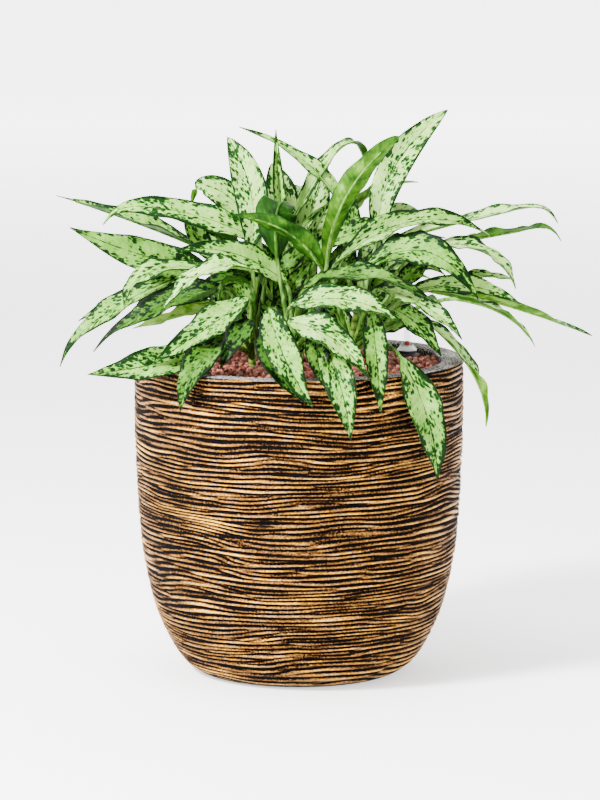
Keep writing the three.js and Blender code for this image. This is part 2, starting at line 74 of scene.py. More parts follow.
def outside_radius(z):
    """A Catmull-Rom curve through the outline's points, read at a height."""
    last = len(PLANTER_OUTSIDE) - 2
    i = next((k for k in range(last + 1) if PLANTER_OUTSIDE[k + 1][1] >= z), last)
    (r1, z1), (r2, z2) = PLANTER_OUTSIDE[i:i + 2]
    r0, z0 = PLANTER_OUTSIDE[max(i - 1, 0)]
    r3, z3 = PLANTER_OUTSIDE[min(i + 2, last + 1)]
    t = (z - z1) / (z2 - z1)
    start = (r2 - r0) * (z2 - z1) / (z2 - z0)
    end = (r3 - r1) * (z2 - z1) / (z3 - z1)
    a = 2 * t ** 3 - 3 * t ** 2 + 1
    b = t ** 3 - 2 * t ** 2 + t
    c = t ** 3 - t ** 2
    return a * r1 + b * start + (1 - a) * r2 + c * end


# %% Planter: the ribs as a formula
RIB_PITCH = 6.6  # from crest to crest
RIB_PITCH_TIGHT = 5.6  # the same where the ribs close up


def smoothstep(low, high, value):
    share = min(1.0, max(0.0, (value - low) / (high - low)))
    return share * share * (3 - 2 * share)


def swell(x, y, z, across, up, shift=(0, 0, 0)):
    """A smooth noise, about -1 to 1, with swells so many millimetres across and up."""
    return noise.noise(Vector((x / across + shift[0], y / across + shift[1], z / up + shift[2])))


def rib_height(angle, z):
    """How high the surface is here: below 0 in a groove, near 0.8 on a crest."""
    x = outside_radius(z) * math.cos(angle)
    y = outside_radius(z) * math.sin(angle)
    lean = swell(x, y, z, 170, 120)
    drift = swell(x, y, z, 70, 30, shift=(9, 0, 0))
    slope = swell(x, y, z, 110, 60, shift=(9, 0, 7))
    level = z + 7 * lean + 2.5 * drift  # a rib wanders by so many millimetres
    first = math.cos(TURN * level / RIB_PITCH)
    second = math.cos(TURN * (level + 9 * slope + 9 * lean) / RIB_PITCH_TIGHT)
    fork = smoothstep(-0.12, 0.12, swell(x, y, z, 75, 12, shift=(0, 5, 0)))
    streak = swell(x, y, level, 85, 3.0, shift=(0, 31, 0))
    # where fork is 1, the second set of ribs has taken over, and a streak fills or deepens a groove
    return 0.48 * (first + fork * (second - first)) + 0.57 * streak + 0.2


# %% [markdown]
# Turning an outline
#
# A turned piece is drawn as one half of its section. A plane merged to a single corner is the
# start, and each next corner is extruded from the last. Spin then sweeps the line round the axis.
# The first and last ring of corners meet, so they are merged, and the faces are turned outwards
# after that.


# %% Drawing and spinning an outline
def draw_line(points, unit=MM):
    """Draws edges from point to point and stays in edit mode."""
    bpy.ops.mesh.primitive_plane_add(size=1, location=(0, 0, 0))
    bpy.ops.object.mode_set(mode="EDIT")
    bpy.ops.mesh.select_all(action="SELECT")
    bpy.ops.mesh.merge(type="CENTER")
    bpy.ops.transform.translate(value=[v * unit for v in points[0]])
    for start, end in zip(points, points[1:]):
        step = [(b - a) * unit for a, b in zip(start, end)]
        bpy.ops.mesh.extrude_vertices_move(TRANSFORM_OT_translate={"value": step})
    bpy.ops.mesh.select_all(action="SELECT")


def close_mesh(name):
    """Turns the faces outwards, leaves edit mode, and smooths and names the piece."""
    bpy.ops.mesh.normals_make_consistent(inside=False)
    bpy.ops.object.mode_set(mode="OBJECT")
    bpy.ops.object.shade_smooth()
    piece = bpy.context.object
    piece.name = name
    piece.data.name = name
    return piece


def turned(name, outline, sides, centre=(0, 0)):
    """Spins an outline of radius and height about an upright axis."""
    draw_line([(centre[0] + radius, centre[1], height) for radius, height in outline])
    axis_at = (centre[0] * MM, centre[1] * MM, 0)
    bpy.ops.mesh.spin(steps=sides, angle=TURN, center=axis_at, axis=(0, 0, 1))
    bpy.ops.mesh.select_all(action="SELECT")
    bpy.ops.mesh.remove_doubles(threshold=0.02 * MM)
    return close_mesh(name)


# %% Planter: spin its outline
WALL = 29
CAVITY_FLOOR = 34
CAVITY_HEIGHTS = (396, 380, 320, 220, 140, 90, 52)
CAVITY_ROUND = 22
RIM_ROUND = 2
RIM_ROUND_INSIDE = 4
RIBS_FROM = 4
RIBS_TO = PLANTER_HEIGHT - RIM_ROUND
ROW_STEP = 1.02  # some six rows of faces to a rib
PLANTER_SIDES = 224

row_count = int((RIBS_TO - RIBS_FROM) / ROW_STEP)
rib_rows = [RIBS_FROM + (RIBS_TO - RIBS_FROM) * i / row_count for i in range(row_count + 1)]
planter_outline = [(0, 0), PLANTER_OUTSIDE[0], (134, 1.4)]
planter_outline += [(outside_radius(z), z) for z in rib_rows]
rim_outer = outside_radius(RIBS_TO)
for k in range(1, 6):
    angle = TURN / 4 * k / 5
    planter_outline.append((rim_outer - RIM_ROUND + RIM_ROUND * math.cos(angle),
                            RIBS_TO + RIM_ROUND * math.sin(angle)))
planter_outline.append((rim_outer - WALL / 2, PLANTER_HEIGHT))
rim_inner = outside_radius(PLANTER_HEIGHT) - WALL
for k in range(5):
    angle = TURN / 4 * k / 4
    planter_outline.append((rim_inner + RIM_ROUND_INSIDE - RIM_ROUND_INSIDE * math.sin(angle),
                            PLANTER_HEIGHT - RIM_ROUND_INSIDE + RIM_ROUND_INSIDE * math.cos(angle)))
planter_outline += [(outside_radius(z) - WALL, z) for z in CAVITY_HEIGHTS]
planter_outline.append((outside_radius(CAVITY_HEIGHTS[-1]) - WALL - CAVITY_ROUND, CAVITY_FLOOR))
planter_outline.append((0, CAVITY_FLOOR))
planter = turned("planter_shell", planter_outline, PLANTER_SIDES)
print("planter rows", len(planter_outline), "corners", len(planter.data.vertices))


# %% Planter: lower the grooves
RIB_DEPTH = 3.0
PLAIN_RIB = 0.3  # the rib value where there are no ribs and the bare cement hides it


def attributes(piece, **kinds):
    """Adds all of these to the corners before one is read, because adding one moves the others."""
    for name, kind in kinds.items():
        piece.data.attributes.new(name, kind, "POINT")
    return [piece.data.attributes[name].data for name in kinds]


rib, rim = attributes(planter, rib="FLOAT", rim="FLOAT")
for vertex in planter.data.vertices:
    x, y, z = vertex.co / MM
    is_outside = math.hypot(x, y) > outside_radius(min(z, RIBS_TO)) - 1.2 and z >= RIBS_FROM
    if not is_outside:
        rib[vertex.index].value = PLAIN_RIB
        rim[vertex.index].value = 1.0
        continue
    angle = math.atan2(y, x)
    height = rib_height(angle, z)
    fade = 1 - smoothstep(RIBS_TO - 1, PLANTER_HEIGHT, z)
    fade *= smoothstep(RIBS_FROM, RIBS_FROM + 4, z)
    rib[vertex.index].value = height
    rim[vertex.index].value = smoothstep(PLANTER_HEIGHT - 0.5, PLANTER_HEIGHT, z)
    lowered = RIB_DEPTH * (1 - smoothstep(-0.35, 0.9, height)) * fade
    vertex.co.x -= lowered * MM * math.cos(angle)
    vertex.co.y -= lowered * MM * math.sin(angle)
print("grooves lowered by up to", RIB_DEPTH, "mm")

# %% [markdown]
# Colour and nodes
#
# Colours are given as sRGB hex values, as a paint chart gives them, and a shader wants linear
# light, so one function turns the one into the other. Another adds a node with its settings and
# its links, and gives the output that the next node needs, so a material reads as a list of
# steps. A Math node set to MULTIPLY_ADD gives input 0 times input 1 plus input 2, so a loop of
# them adds up weighted patterns.


# %% Colours
def colour(hex_value):
    channels = [int(hex_value[i:i + 2], 16) / 255 for i in (1, 3, 5)]
    linear = [c / 12.92 if c <= 0.04045 else ((c + 0.055) / 1.055) ** 2.4 for c in channels]
    return (*linear, 1.0)


# %% Nodes
MIX_A, MIX_B, MIX_RESULT = 6, 7, 2  # a Mix node's sockets for colours
MIX_VALUE_A, MIX_VALUE_B = 2, 3  # and for plain values


def add_node(material, kind, sockets=None, out=0, stops=None, **settings):
    """Sockets are values or other nodes' outputs, and stops are a ramp's colours."""
    made = material.node_tree.nodes.new("ShaderNode" + kind)
    for key, value in settings.items():
        setattr(made, key, value)
    for socket, value in (sockets or {}).items():
        if isinstance(value, bpy.types.NodeSocket):
            material.node_tree.links.new(value, made.inputs[socket])
        else:
            made.inputs[socket].default_value = value
    if stops:
        elements = made.color_ramp.elements
        while len(elements) < len(stops):
            elements.new(0.5)
        for element, (position, hex_value) in zip(elements, stops):
            element.position = position
            element.color = colour(hex_value)
    return made.outputs[out]


# %% A material from start to end
def new_material(name, **fixed):
    """Gives the material, its shader, and the function that adds a node to this material."""
    material = bpy.data.materials.new(name)
    material.use_nodes = True
    shader = material.node_tree.nodes["Principled BSDF"]
    for socket, value in fixed.items():
        shader.inputs[socket.replace("_", " ")].default_value = value
    return material, shader, partial(add_node, material)


def wire(shader, outputs):
    for socket, output in outputs.items():
        shader.id_data.links.new(output, shader.inputs[socket])
    print(len(shader.id_data.nodes), "nodes give", ", ".join(outputs))


def cells_of(size):
    """The Scale of a pattern whose cells are so many millimetres across."""
    return 1 / (size * MM)


# %% [markdown]
# Planter finish: gold wash on a charcoal composite
#
# The composite is a fibre and clay mix, charcoal all through and rough as cement, so it is nearly
# black and matt in the grooves, and there it is painted blacker still as painted shade. The wash is
# a bronze-gold acrylic, a little more than half metallic. It was wiped on by hand, so its edge is
# ragged by a millimetre or two, it shows the hairs of the brush, and it lies thicker in some
# places. The rib value decides where the gold is, and noises break its edge. The same value paints
# a cream highlight on the highest crests and painted shade, brown going to black, down the flanks.
# The hairs are drawn 1.6 mm wide, some times too coarse, so that they show. The bare rim is dry
# cement with grains of 2 to 3 mm, and inside, just under its edge, it is painted nearly black as
# painted shade. Both are so rough that they hardly mirror anything: specular is very low.

# %% Planter finish: how thick the gold lies, with its painted crest highlight and groove shade
composite, shader, add = new_material("Gold washed composite", Specular_IOR_Level=0.03)
where = add("TexCoord", out="Object")
rib_value = add("Attribute", out="Fac", attribute_name="rib")
rim_value = add("Attribute", out="Fac", attribute_name="rim")
smear = add("Mapping", {"Vector": where, "Scale": (1, 1, 5)})
hairs = add("Mapping", {"Vector": where, "Scale": (0.05, 0.05, 1)})
grit, speck, brush, patches = [
    add("TexNoise", {"Vector": place, "Scale": cells_of(size), "Detail": detail})
    for place, size, detail in [
        (where, 3, 3.0), (where, 1.5, 2.0), (hairs, 1.6, 1.0), (smear, 70, 3.0),
    ]
]
washed = rib_value  # the sum runs from 1.18, bare, to 2.6, where the gold is thickest
for pattern, weight in [(grit, 0.5), (speck, 1.5), (brush, 0.4), (patches, 0.9)]:
    washed = add("Math", {0: pattern, 1: weight, 2: washed}, operation="MULTIPLY_ADD")
level = add("MapRange", {"Value": washed, "From Min": 1.18, "From Max": 2.6})
# partly the wash and the charcoal, partly painted light: the top stops paint a cream highlight on
# the crests, the low stops paint shade down the flanks and into the grooves, and the first stop is
# a faint painted sheen at the bottom of the deepest grooves
gold_wash_with_painted_light = add("ValToRGB", {"Fac": level}, stops=[
    (0.0, "#060607"), (0.25, "#010101"), (0.48, "#060302"), (0.53, "#2b1706"), (0.62, "#573a1b"),
    (0.80, "#875c29"), (0.93, "#ba8634"), (1.0, "#f0b94c"),
])

# %% Planter finish: the bare rim, and the painted shade inside it
chips = add("TexNoise", {"Vector": where, "Scale": cells_of(2.4), "Detail": 1.0})
cement = add("ValToRGB", {"Fac": chips}, stops=[
    (0.36, "#171616"), (0.5, "#565350"), (0.64, "#b0aaa2"),
])
# inside, just under the rim's edge, the cement is painted nearly black (#161413): painted shade
height = add("SeparateXYZ", {"Vector": where}, out="Z")
painted_shade_fade = add("MapRange", {
    "Value": height, "From Min": (PLANTER_HEIGHT - 5) * MM, "From Max": (PLANTER_HEIGHT - 0.5) * MM,
    "To Min": 0.25,
})
rim_colour_with_shade = add("Mix", {"Factor": painted_shade_fade, MIX_A: colour("#161413"), MIX_B: cement},
                 out=MIX_RESULT, data_type="RGBA")
painted = add("Mix", {"Factor": rim_value, MIX_A: gold_wash_with_painted_light, MIX_B: rim_colour_with_shade},
              out=MIX_RESULT, data_type="RGBA")

# %% Planter finish: gloss and grain
dull = add("MapRange", {
    "Value": level, "From Min": 0.45, "From Max": 0.75, "To Min": 0.85, "To Max": 0.42,
})
rough = add("Mix", {"Factor": rim_value, MIX_VALUE_A: dull, MIX_VALUE_B: 0.85})
foil = add("MapRange", {"Value": level, "From Min": 0.5, "From Max": 0.7, "To Max": 0.6})
metal = add("Mix", {"Factor": rim_value, MIX_VALUE_A: foil, MIX_VALUE_B: 0.0})
knobs = add("Bump", {"Height": grit, "Strength": 0.6, "Distance": 0.8 * MM})
grain = add("Bump", {"Height": speck, "Strength": 0.8, "Distance": 0.6 * MM, "Normal": knobs})
wire(shader, {"Base Color": painted, "Roughness": rough, "Metallic": metal, "Normal": grain})
planter.data.materials.append(composite)


# %% Planter: say what the piece stands for
def declare(item, node):
    """The piece is shown in place of its CAD solid, on the one body."""
    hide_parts(node)
    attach(item, "root")
    triangles = sum(len(face.vertices) - 2 for face in item.data.polygons)
    print(item.name, "stands for", node, "with", triangles, "triangles")


declare(planter, "planter")

# %% [markdown]
# The clay granules
#
# Plants in a water-gauge planter grow in fired clay granules, brick red, rounded and about 6.5 mm
# across. The bed below is the CAD solid with a clay finish painted nearly black as painted shade,
# and only its uppermost layer is loose stones. A bump alone would look like sand, so six shapes of
# stone are modelled and copied in a loose hexagonal layer, with about a thousand more strewn on
# top, each turned and sized at random from a fixed seed. Under fifty triangles a stone are enough.
# Copying thousands of objects would take minutes, so bmesh gathers the copies in one mesh, and it
# keeps a tone of its own on each stone.

# %% Granules: the shapes of stone
GRANULE = 6.4
chance = random.Random(11)


def stone_shapes(count):
    shapes = []
    for number in range(count):
        bpy.ops.mesh.primitive_uv_sphere_add(segments=7, ring_count=4, radius=GRANULE / 2 * MM)
        bpy.ops.object.mode_set(mode="EDIT")
        bpy.ops.mesh.select_all(action="SELECT")
        size = (chance.uniform(0.92, 1.1), chance.uniform(0.85, 1.0), chance.uniform(0.8, 0.95))
        bpy.ops.transform.resize(value=size)
        bpy.ops.transform.vertex_random(offset=0.35 * MM, seed=number)
        bpy.ops.object.mode_set(mode="OBJECT")
        shapes.append(bpy.context.object)
    return shapes


stones = stone_shapes(6)

# %% Granules: laying one stone
SOIL_TOP = 399
SOIL_RELIEF = 2.2
GAUGE_AT = (143, 75)
SLEEVE_RADIUS = 13
bed = bmesh.new()
tone = bed.verts.layers.float.new("tone")


def soil_height(x, y):
    """The lumpy top of the CAD bed, by the same formula."""
    lumps = math.sin(0.31 * x + 1.3) * math.sin(0.27 * y + 0.4) + math.sin(0.17 * x - 0.23 * y)
    return SOIL_TOP + SOIL_RELIEF / 2 * lumps


def gauge_distance(x, y):
    return math.hypot(x - GAUGE_AT[0], y - GAUGE_AT[1])


def lay_stone(x, y, lift):
    turn = Matrix.Rotation(chance.uniform(0, TURN), 4, chance.choice("XYZ"))
    turn = turn @ Matrix.Rotation(chance.uniform(0, TURN), 4, "Z")
    size = chance.uniform(0.85, 1.08)
    before = len(bed.verts)
    bed.from_mesh(chance.choice(stones).data)
    bed.verts.ensure_lookup_table()
    shade = chance.random()
    place = Vector((x, y, soil_height(x, y) + lift)) * MM
    for vertex in bed.verts[before:]:
        vertex.co = turn @ vertex.co * size + place
        vertex[tone] = shade


# %% Granules: the layer and the loose ones on it
SPACING = 6.7
HEXAGONAL = 0.866  # how much closer the rows of a hexagonal layer are
JITTER = 1.1  # how far a stone may lie off its place
STREWN = 1000
CLEARING = 30  # none is strewn so near to the gauge, which would hide its cap
reach = outside_radius(SOIL_TOP) - WALL - GRANULE / 2
nearest = SLEEVE_RADIUS + GRANULE / 2
rows = int(reach / (SPACING * HEXAGONAL))
columns = int(reach / SPACING) + 1
for row in range(-rows, rows + 1):
    for column in range(-columns, columns + 1):
        x = (column + 0.5 * (row % 2)) * SPACING + chance.uniform(-JITTER, JITTER)
        y = row * SPACING * HEXAGONAL + chance.uniform(-JITTER, JITTER)
        if math.hypot(x, y) < reach and gauge_distance(x, y) > nearest:
            lay_stone(x, y, chance.uniform(-0.6, 1.6))
for _ in range(STREWN):
    angle = chance.uniform(0, TURN)
    radius = reach * math.sqrt(chance.random())
    x = radius * math.cos(angle)
    y = radius * math.sin(angle)
    if gauge_distance(x, y) > CLEARING:
        lay_stone(x, y, chance.uniform(3.4, 5.6))


# %% Granules: one mesh of them all
def pick(*objects):
    """Selects these objects and nothing else, because an operator works on all that is selected."""
    if bpy.context.object and bpy.context.object.mode != "OBJECT":
        bpy.ops.object.mode_set(mode="OBJECT")
    bpy.ops.object.select_all(action="DESELECT")
    for item in objects:
        item.select_set(True)
    bpy.context.view_layer.objects.active = objects[0]


mesh = bpy.data.meshes.new("clay_granules")
bed.to_mesh(mesh)
bed.free()
granules = bpy.data.objects.new("clay_granules", mesh)
bpy.context.scene.collection.objects.link(granules)
print("stones", len(mesh.vertices) // len(stones[0].data.vertices))
for stone in stones:
    bpy.data.objects.remove(stone)
pick(granules)
bpy.ops.object.shade_smooth()

# %% [markdown]
# Granule finish
#
# Fired clay is matt and porous. Every stone comes out of the kiln a little differently, from
# brown red to a dusty pink, so each one carries a tone of its own, and its dust and pores are a
# fine noise. The bed under the loose stones is the same clay in deep shade, painted nearly black
# as painted shade, with lumps as big as a stone.

# %% Granule finish: the loose stones
fired_clay, shader, add = new_material("Fired clay granule", Roughness=0.88)
where = add("TexCoord", out="Object")
own_tone = add("Attribute", out="Fac", attribute_name="tone")
faded = add("Math", {0: own_tone, 1: 0.8}, operation="MULTIPLY")
dust = add("TexNoise", {"Vector": where, "Scale": cells_of(2.6), "Detail": 4.0})
dusted = add("Math", {0: dust, 1: 0.4, 2: faded}, operation="MULTIPLY_ADD")
clay = add("ValToRGB", {"Fac": dusted}, stops=[
    (0.2, "#40180d"), (0.5, "#733322"), (0.8, "#9a5844"), (1.0, "#ba8874"),
])
pores = add("Bump", {"Height": dust, "Strength": 0.7, "Distance": 0.5 * MM})
wire(shader, {"Base Color": clay, "Normal": pores})
granules.data.materials.append(fired_clay)
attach(granules, "root")

# %% Granule finish: the bed below them
packed_clay, shader, add = new_material("Packed clay under the granules", Roughness=0.95)
where = add("TexCoord", out="Object")
lumps = add("TexVoronoi", {"Vector": where, "Scale": cells_of(GRANULE)}, out="Distance")
# the bed's near-black colour is painted shade between and under the stones
clay = add("ValToRGB", {"Fac": lumps}, stops=[(0.1, "#1c0a06"), (0.7, "#0a0302")])
bumps = add("Bump", {"Height": lumps, "Strength": 1.0, "Distance": 2 * MM})
wire(shader, {"Base Color": clay, "Normal": bumps})
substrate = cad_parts["substrate"]
substrate.data.materials.clear()
substrate.data.materials.append(packed_clay)

# %% [markdown]
# The water gauge
#
# A dark plastic sleeve is sunk in the granules. A clear cap with a slim clear tube sits on it,
# and the red tip of the float's rod shows in its foot. All three are turned parts, so they are
# drawn as outlines and spun, on more sides than the CAD has, with a small round on each corner.

# %% Water gauge: the sleeve
SLEEVE_WALL = 1.6
SLEEVE_BOTTOM = 250
SLEEVE_TOP = 409
SLEEVE_FLOOR = SLEEVE_BOTTOM + 2
GAUGE_SIDES = 64
bore = SLEEVE_RADIUS - SLEEVE_WALL
neck = SLEEVE_RADIUS - 0.4  # a groove runs round it, 3 mm under the top
sleeve = turned("gauge_sleeve_turned", [
    (0, SLEEVE_BOTTOM), (SLEEVE_RADIUS - 0.5, SLEEVE_BOTTOM), (SLEEVE_RADIUS, SLEEVE_BOTTOM + 0.5),
    (SLEEVE_RADIUS, SLEEVE_TOP - 3.2), (neck, SLEEVE_TOP - 3), (neck, SLEEVE_TOP - 2.6),
    (SLEEVE_RADIUS, SLEEVE_TOP - 2.4), (SLEEVE_RADIUS, SLEEVE_TOP - 0.4), (neck, SLEEVE_TOP),
    (bore + 0.3, SLEEVE_TOP), (bore, SLEEVE_TOP - 0.3), (bore, SLEEVE_FLOOR), (0, SLEEVE_FLOOR),
], GAUGE_SIDES, GAUGE_AT)

# %% Water gauge: the clear cap and its tube
SHOULDER = 418
TUBE_TOP = 468
TUBE_RADIUS = 5
TUBE_WALL = 1.1
PLAY = 0.35  # between the cap and the sleeve that it is pushed into
seat = SLEEVE_TOP + 0.3
spigot = bore - PLAY
tube_bore = TUBE_RADIUS - TUBE_WALL
window = turned("gauge_window_turned", [
    (0, TUBE_TOP), (2, TUBE_TOP - 0.2), (4, TUBE_TOP - 0.8), (TUBE_RADIUS, TUBE_TOP - 2),
    (TUBE_RADIUS, SHOULDER + 2), (TUBE_RADIUS + 0.6, SHOULDER + 0.8),
    (neck, seat + 1.7), (SLEEVE_RADIUS, seat + 1.2), (SLEEVE_RADIUS, seat), (spigot, seat),
    (spigot, seat - 7), (spigot - 1.2, seat - 7), (spigot - 1.2, seat + 0.5),
    (tube_bore, SHOULDER - 1), (tube_bore, TUBE_TOP - 3), (0, TUBE_TOP - 3),
], GAUGE_SIDES, GAUGE_AT)

# %% Water gauge: the float
FLOAT_RADIUS = 9
FLOAT_BODY = 62
ROD_RADIUS = 1.1
TIP_RADIUS = 3.5
TIP_BOTTOM = 415.6
TIP_TOP = 421.6
low = SLEEVE_FLOOR + 0.3
high = low + FLOAT_BODY
gauge_float = turned("gauge_float_turned", [
    (0, low), (7.5, low), (8.6, low + 0.8), (FLOAT_RADIUS, low + 3), (FLOAT_RADIUS, high - 3),
    (7.5, high), (ROD_RADIUS, high + 1), (ROD_RADIUS, TIP_BOTTOM), (TIP_RADIUS, TIP_BOTTOM + 0.6),
    (TIP_RADIUS, TIP_TOP - 1.2), (2.8, TIP_TOP - 0.3), (0, TIP_TOP),
], GAUGE_SIDES // 2, GAUGE_AT)

# %% [markdown]
# Gauge finishes
#
# The sleeve is ABS, moulded in charcoal, with the faint orange peel of its mould and a dull
# gloss. The peel is drawn at 1.2 mm, as coarse as it needs to be to show. The cap is clear SAN
# plastic, moulded and a little cloudy from handling. A solid that bends light would lose its look
# in the export, so it is drawn as a thin film: the tube hides a tenth of what is behind it, and
# the thick cone at its foot is greyer and hides more than half. The float is polystyrene, a pale
# rod with a red tip, smooth and fairly glossy.

# %% Gauge finishes: the sleeve's ABS
abs_plastic, shader, add = new_material("Moulded charcoal ABS", Roughness=0.5,
                                        Specular_IOR_Level=0.25)
where = add("TexCoord", out="Object")
peel = add("TexNoise", {"Vector": where, "Scale": cells_of(1.2), "Detail": 2.0})
grey = add("ValToRGB", {"Fac": peel}, stops=[(0.3, "#1d1a20"), (0.7, "#2c282f")])
skin = add("Bump", {"Height": peel, "Strength": 0.3, "Distance": 0.1 * MM})
wire(shader, {"Base Color": grey, "Normal": skin})

# %% Gauge finishes: the cap's clear SAN
san_plastic, shader, add = new_material("Clear SAN plastic", IOR=1.57)
where = add("TexCoord", out="Object")
haze = add("TexNoise", {"Vector": where, "Scale": cells_of(6), "Detail": 3.0})
cloudy = add("MapRange", {"Value": haze, "To Min": 0.08, "To Max": 0.22})
tint = add("ValToRGB", {"Fac": haze}, stops=[(0.3, "#f4f4f8"), (0.7, "#ffffff")])
height = add("SeparateXYZ", {"Vector": where}, out="Z")
thick = add("MapRange", {
    "Value": height, "From Min": (SHOULDER - 1) * MM, "From Max": (SHOULDER - 3.5) * MM,
})
film = add("Mix", {"Factor": thick, MIX_A: colour("#6f7577"), MIX_B: tint},
           out=MIX_RESULT, data_type="RGBA")
cover = add("MapRange", {"Value": thick, "To Min": 0.1, "To Max": 0.6})
wire(shader, {"Base Color": film, "Roughness": cloudy, "Alpha": cover})

# %% Gauge finishes: the float's polystyrene
polystyrene, shader, add = new_material("Moulded polystyrene", Roughness=0.35)
where = add("TexCoord", out="Object")
swirl = add("TexNoise", {"Vector": where, "Scale": cells_of(4), "Detail": 2.0})
red = add("ValToRGB", {"Fac": swirl}, stops=[(0.3, "#8c0600"), (0.7, "#c82c00")])
height = add("SeparateXYZ", {"Vector": where}, out="Z")
is_tip = add("Math", {0: height, 1: (TIP_BOTTOM - 1) * MM}, operation="GREATER_THAN")
tipped = add("Mix", {"Factor": is_tip, MIX_A: colour("#cfd0cf"), MIX_B: red},
             out=MIX_RESULT, data_type="RGBA")
wire(shader, {"Base Color": tipped})

# %% Gauge finishes: put on
for piece, node_name, slot_name, finish in [
    (sleeve, "gauge_sleeve", "gauge_body", abs_plastic),
    (window, "gauge_window", "gauge_clear", san_plastic),
    (gauge_float, "gauge_float", "float", polystyrene),
]:
    piece.data.materials.append(finish)
    declare(piece, node_name)

# %% [markdown]
# The leaves: where they stand
#
# Each leaf of the plant is one row here, as in the part's source: the base, the middle and the
# tip of its midrib, its greatest width, and the way its upper side looks. A fold raises each half
# by more than usual, a curl drops the tip, and a twist turns the blade on its way to the tip.
# Widest says how far along the blade its greatest width is, and a low taper keeps it broad until
# near the tip. The tone makes a leaf greener and darker and adds flecks. It is partly a leaf's own
# colour and partly painted shade: the palest are below 0, and those deep in shade are near 1.


# %% Leaf rows: what a row holds
def leaf(base, mid, tip, width, face=(0, -2, 1), fold=16, curl=0, twist=0, widest=0.39,
         taper=1.25, tone=None):
    return {
        "base": Vector(base), "mid": Vector(mid), "tip": Vector(tip), "face": Vector(face),
        "width": width, "widest": widest, "taper": taper, "tone": tone,
        "fold": math.radians(fold), "curl": curl, "twist": math.radians(twist),
    }


SHOOTS = {}

# %% Leaf rows: the front left shoot
SHOOTS["shoot_front_left"] = {"foot": (-60, -30), "top": (-64, -42, 478), "leaves": [
    leaf((-122, -15, 529), (-199, -30, 522), (-225, -35, 477), 36, (-1, -2, 3), tone=0.3),
    leaf((-63, -60, 534), (-123, -75, 530), (-175, -90, 481), 40, (-1, -2, 4), tone=0),
    leaf((-95, -45, 506), (-172, -55, 487), (-264, -65, 438), 42, (-2, -3, 3), curl=12, tone=1.05),
    leaf((-109, -20, 484), (-164, -25, 466), (-215, -30, 452), 30, (0, 2, 3), tone=-0.6),
    leaf((-65, -95, 500), (-120, -125, 463), (-184, -150, 424), 46, (-1, -2, 1), tone=0.37),
    leaf((-63, -58, 512), (-94, -66, 516), (-102, -78, 486), 26, (1, 1, 2), tone=0.55),
    leaf((-114, -96, 433), (-187, -147, 421), (-266, -154, 410), 46, (-1, -4, 2), tone=0.45),
    leaf((-78, -85, 452), (-127, -165, 424), (-149, -180, 366), 42, (-1, -3, 1), tone=0.85),
    leaf((-62, -110, 474), (-80, -140, 453), (-99, -158, 418), 34, (-1, -3, 1), tone=1.2),
    leaf((-48, -30, 528), (-90, -32, 518), (-142, -28, 502), 30, (0, -3, 2), tone=1.1),
]}

# %% Leaf rows: the back left shoot
SHOOTS["shoot_back_left"] = {"foot": (-55, 50), "top": (-62, 42, 505), "leaves": [
    leaf((-130, 45, 551), (-226, 60, 586), (-319, 70, 615), 36, (0, -1, 3),
         fold=35, taper=2, tone=0.4),
    leaf((-53, 20, 562), (-150, 16, 598), (-254, 5, 607), 38, (0, -3, 2),
         curl=24, taper=0.9, tone=0.24),
    leaf((-116, 15, 523), (-204, 10, 543), (-297, 0, 580), 48, (0, -3, 1), tone=0.62),
    leaf((-149, 10, 517), (-246, 0, 471), (-311, -10, 412), 36, (-1, -2, 2), curl=13, tone=0.42),
    leaf((-150, 40, 502), (-220, 38, 486), (-289, 30, 454), 26, (0, -1, 1)),
    leaf((-54, 40, 577), (-101, 45, 622), (-141, 45, 630), 40, (-1, -2, 1),
         curl=26, taper=0.9, tone=0.05),
    leaf((-109, 28, 532), (-135, 30, 571), (-148, 33, 604), 28, (0, -3, 1), tone=0.55),
    leaf((-70, 40, 547), (-109, 42, 565), (-148, 44, 583), 30, (0, 2, 3)),
]}

# %% Leaf rows: the front shoot
SHOOTS["shoot_front"] = {"foot": (-14, -60), "top": (-8, -76, 468), "leaves": [
    leaf((-16, -25, 510), (-81, -35, 549), (-159, -45, 556), 38, (-1, -3, 2), tone=0.42),
    leaf((-39, -130, 491), (-18, -207, 439), (17, -234, 380), 43, tone=0.42),
    leaf((-44, -135, 463), (-31, -198, 428), (8, -224, 384), 30, tone=1.1),
    leaf((-16, -168, 478), (39, -195, 463), (87, -212, 413), 46, (0, -1, 1), tone=0.15),
    leaf((-11, -120, 493), (62, -150, 504), (127, -165, 477), 44, (0, -1, 1), tone=0.16),
    leaf((29, -165, 457), (52, -222, 403), (64, -230, 339), 42, (0, -3, 1), tone=0.4),
    leaf((24, -145, 465), (24, -195, 436), (37, -218, 397), 32, tone=0.8),
    leaf((30, -60, 533), (-17, -85, 585), (-91, -95, 606), 34, (1, 3, 2), tone=0.55),
    leaf((-28, -40, 546), (-27, -62, 612), (-4, -15, 603), 56, (0, 1, 0), tone=0.85),
    leaf((6, -85, 511), (85, -105, 530), (174, -120, 495), 42, (0, -2, 5), tone=0.88),
]}

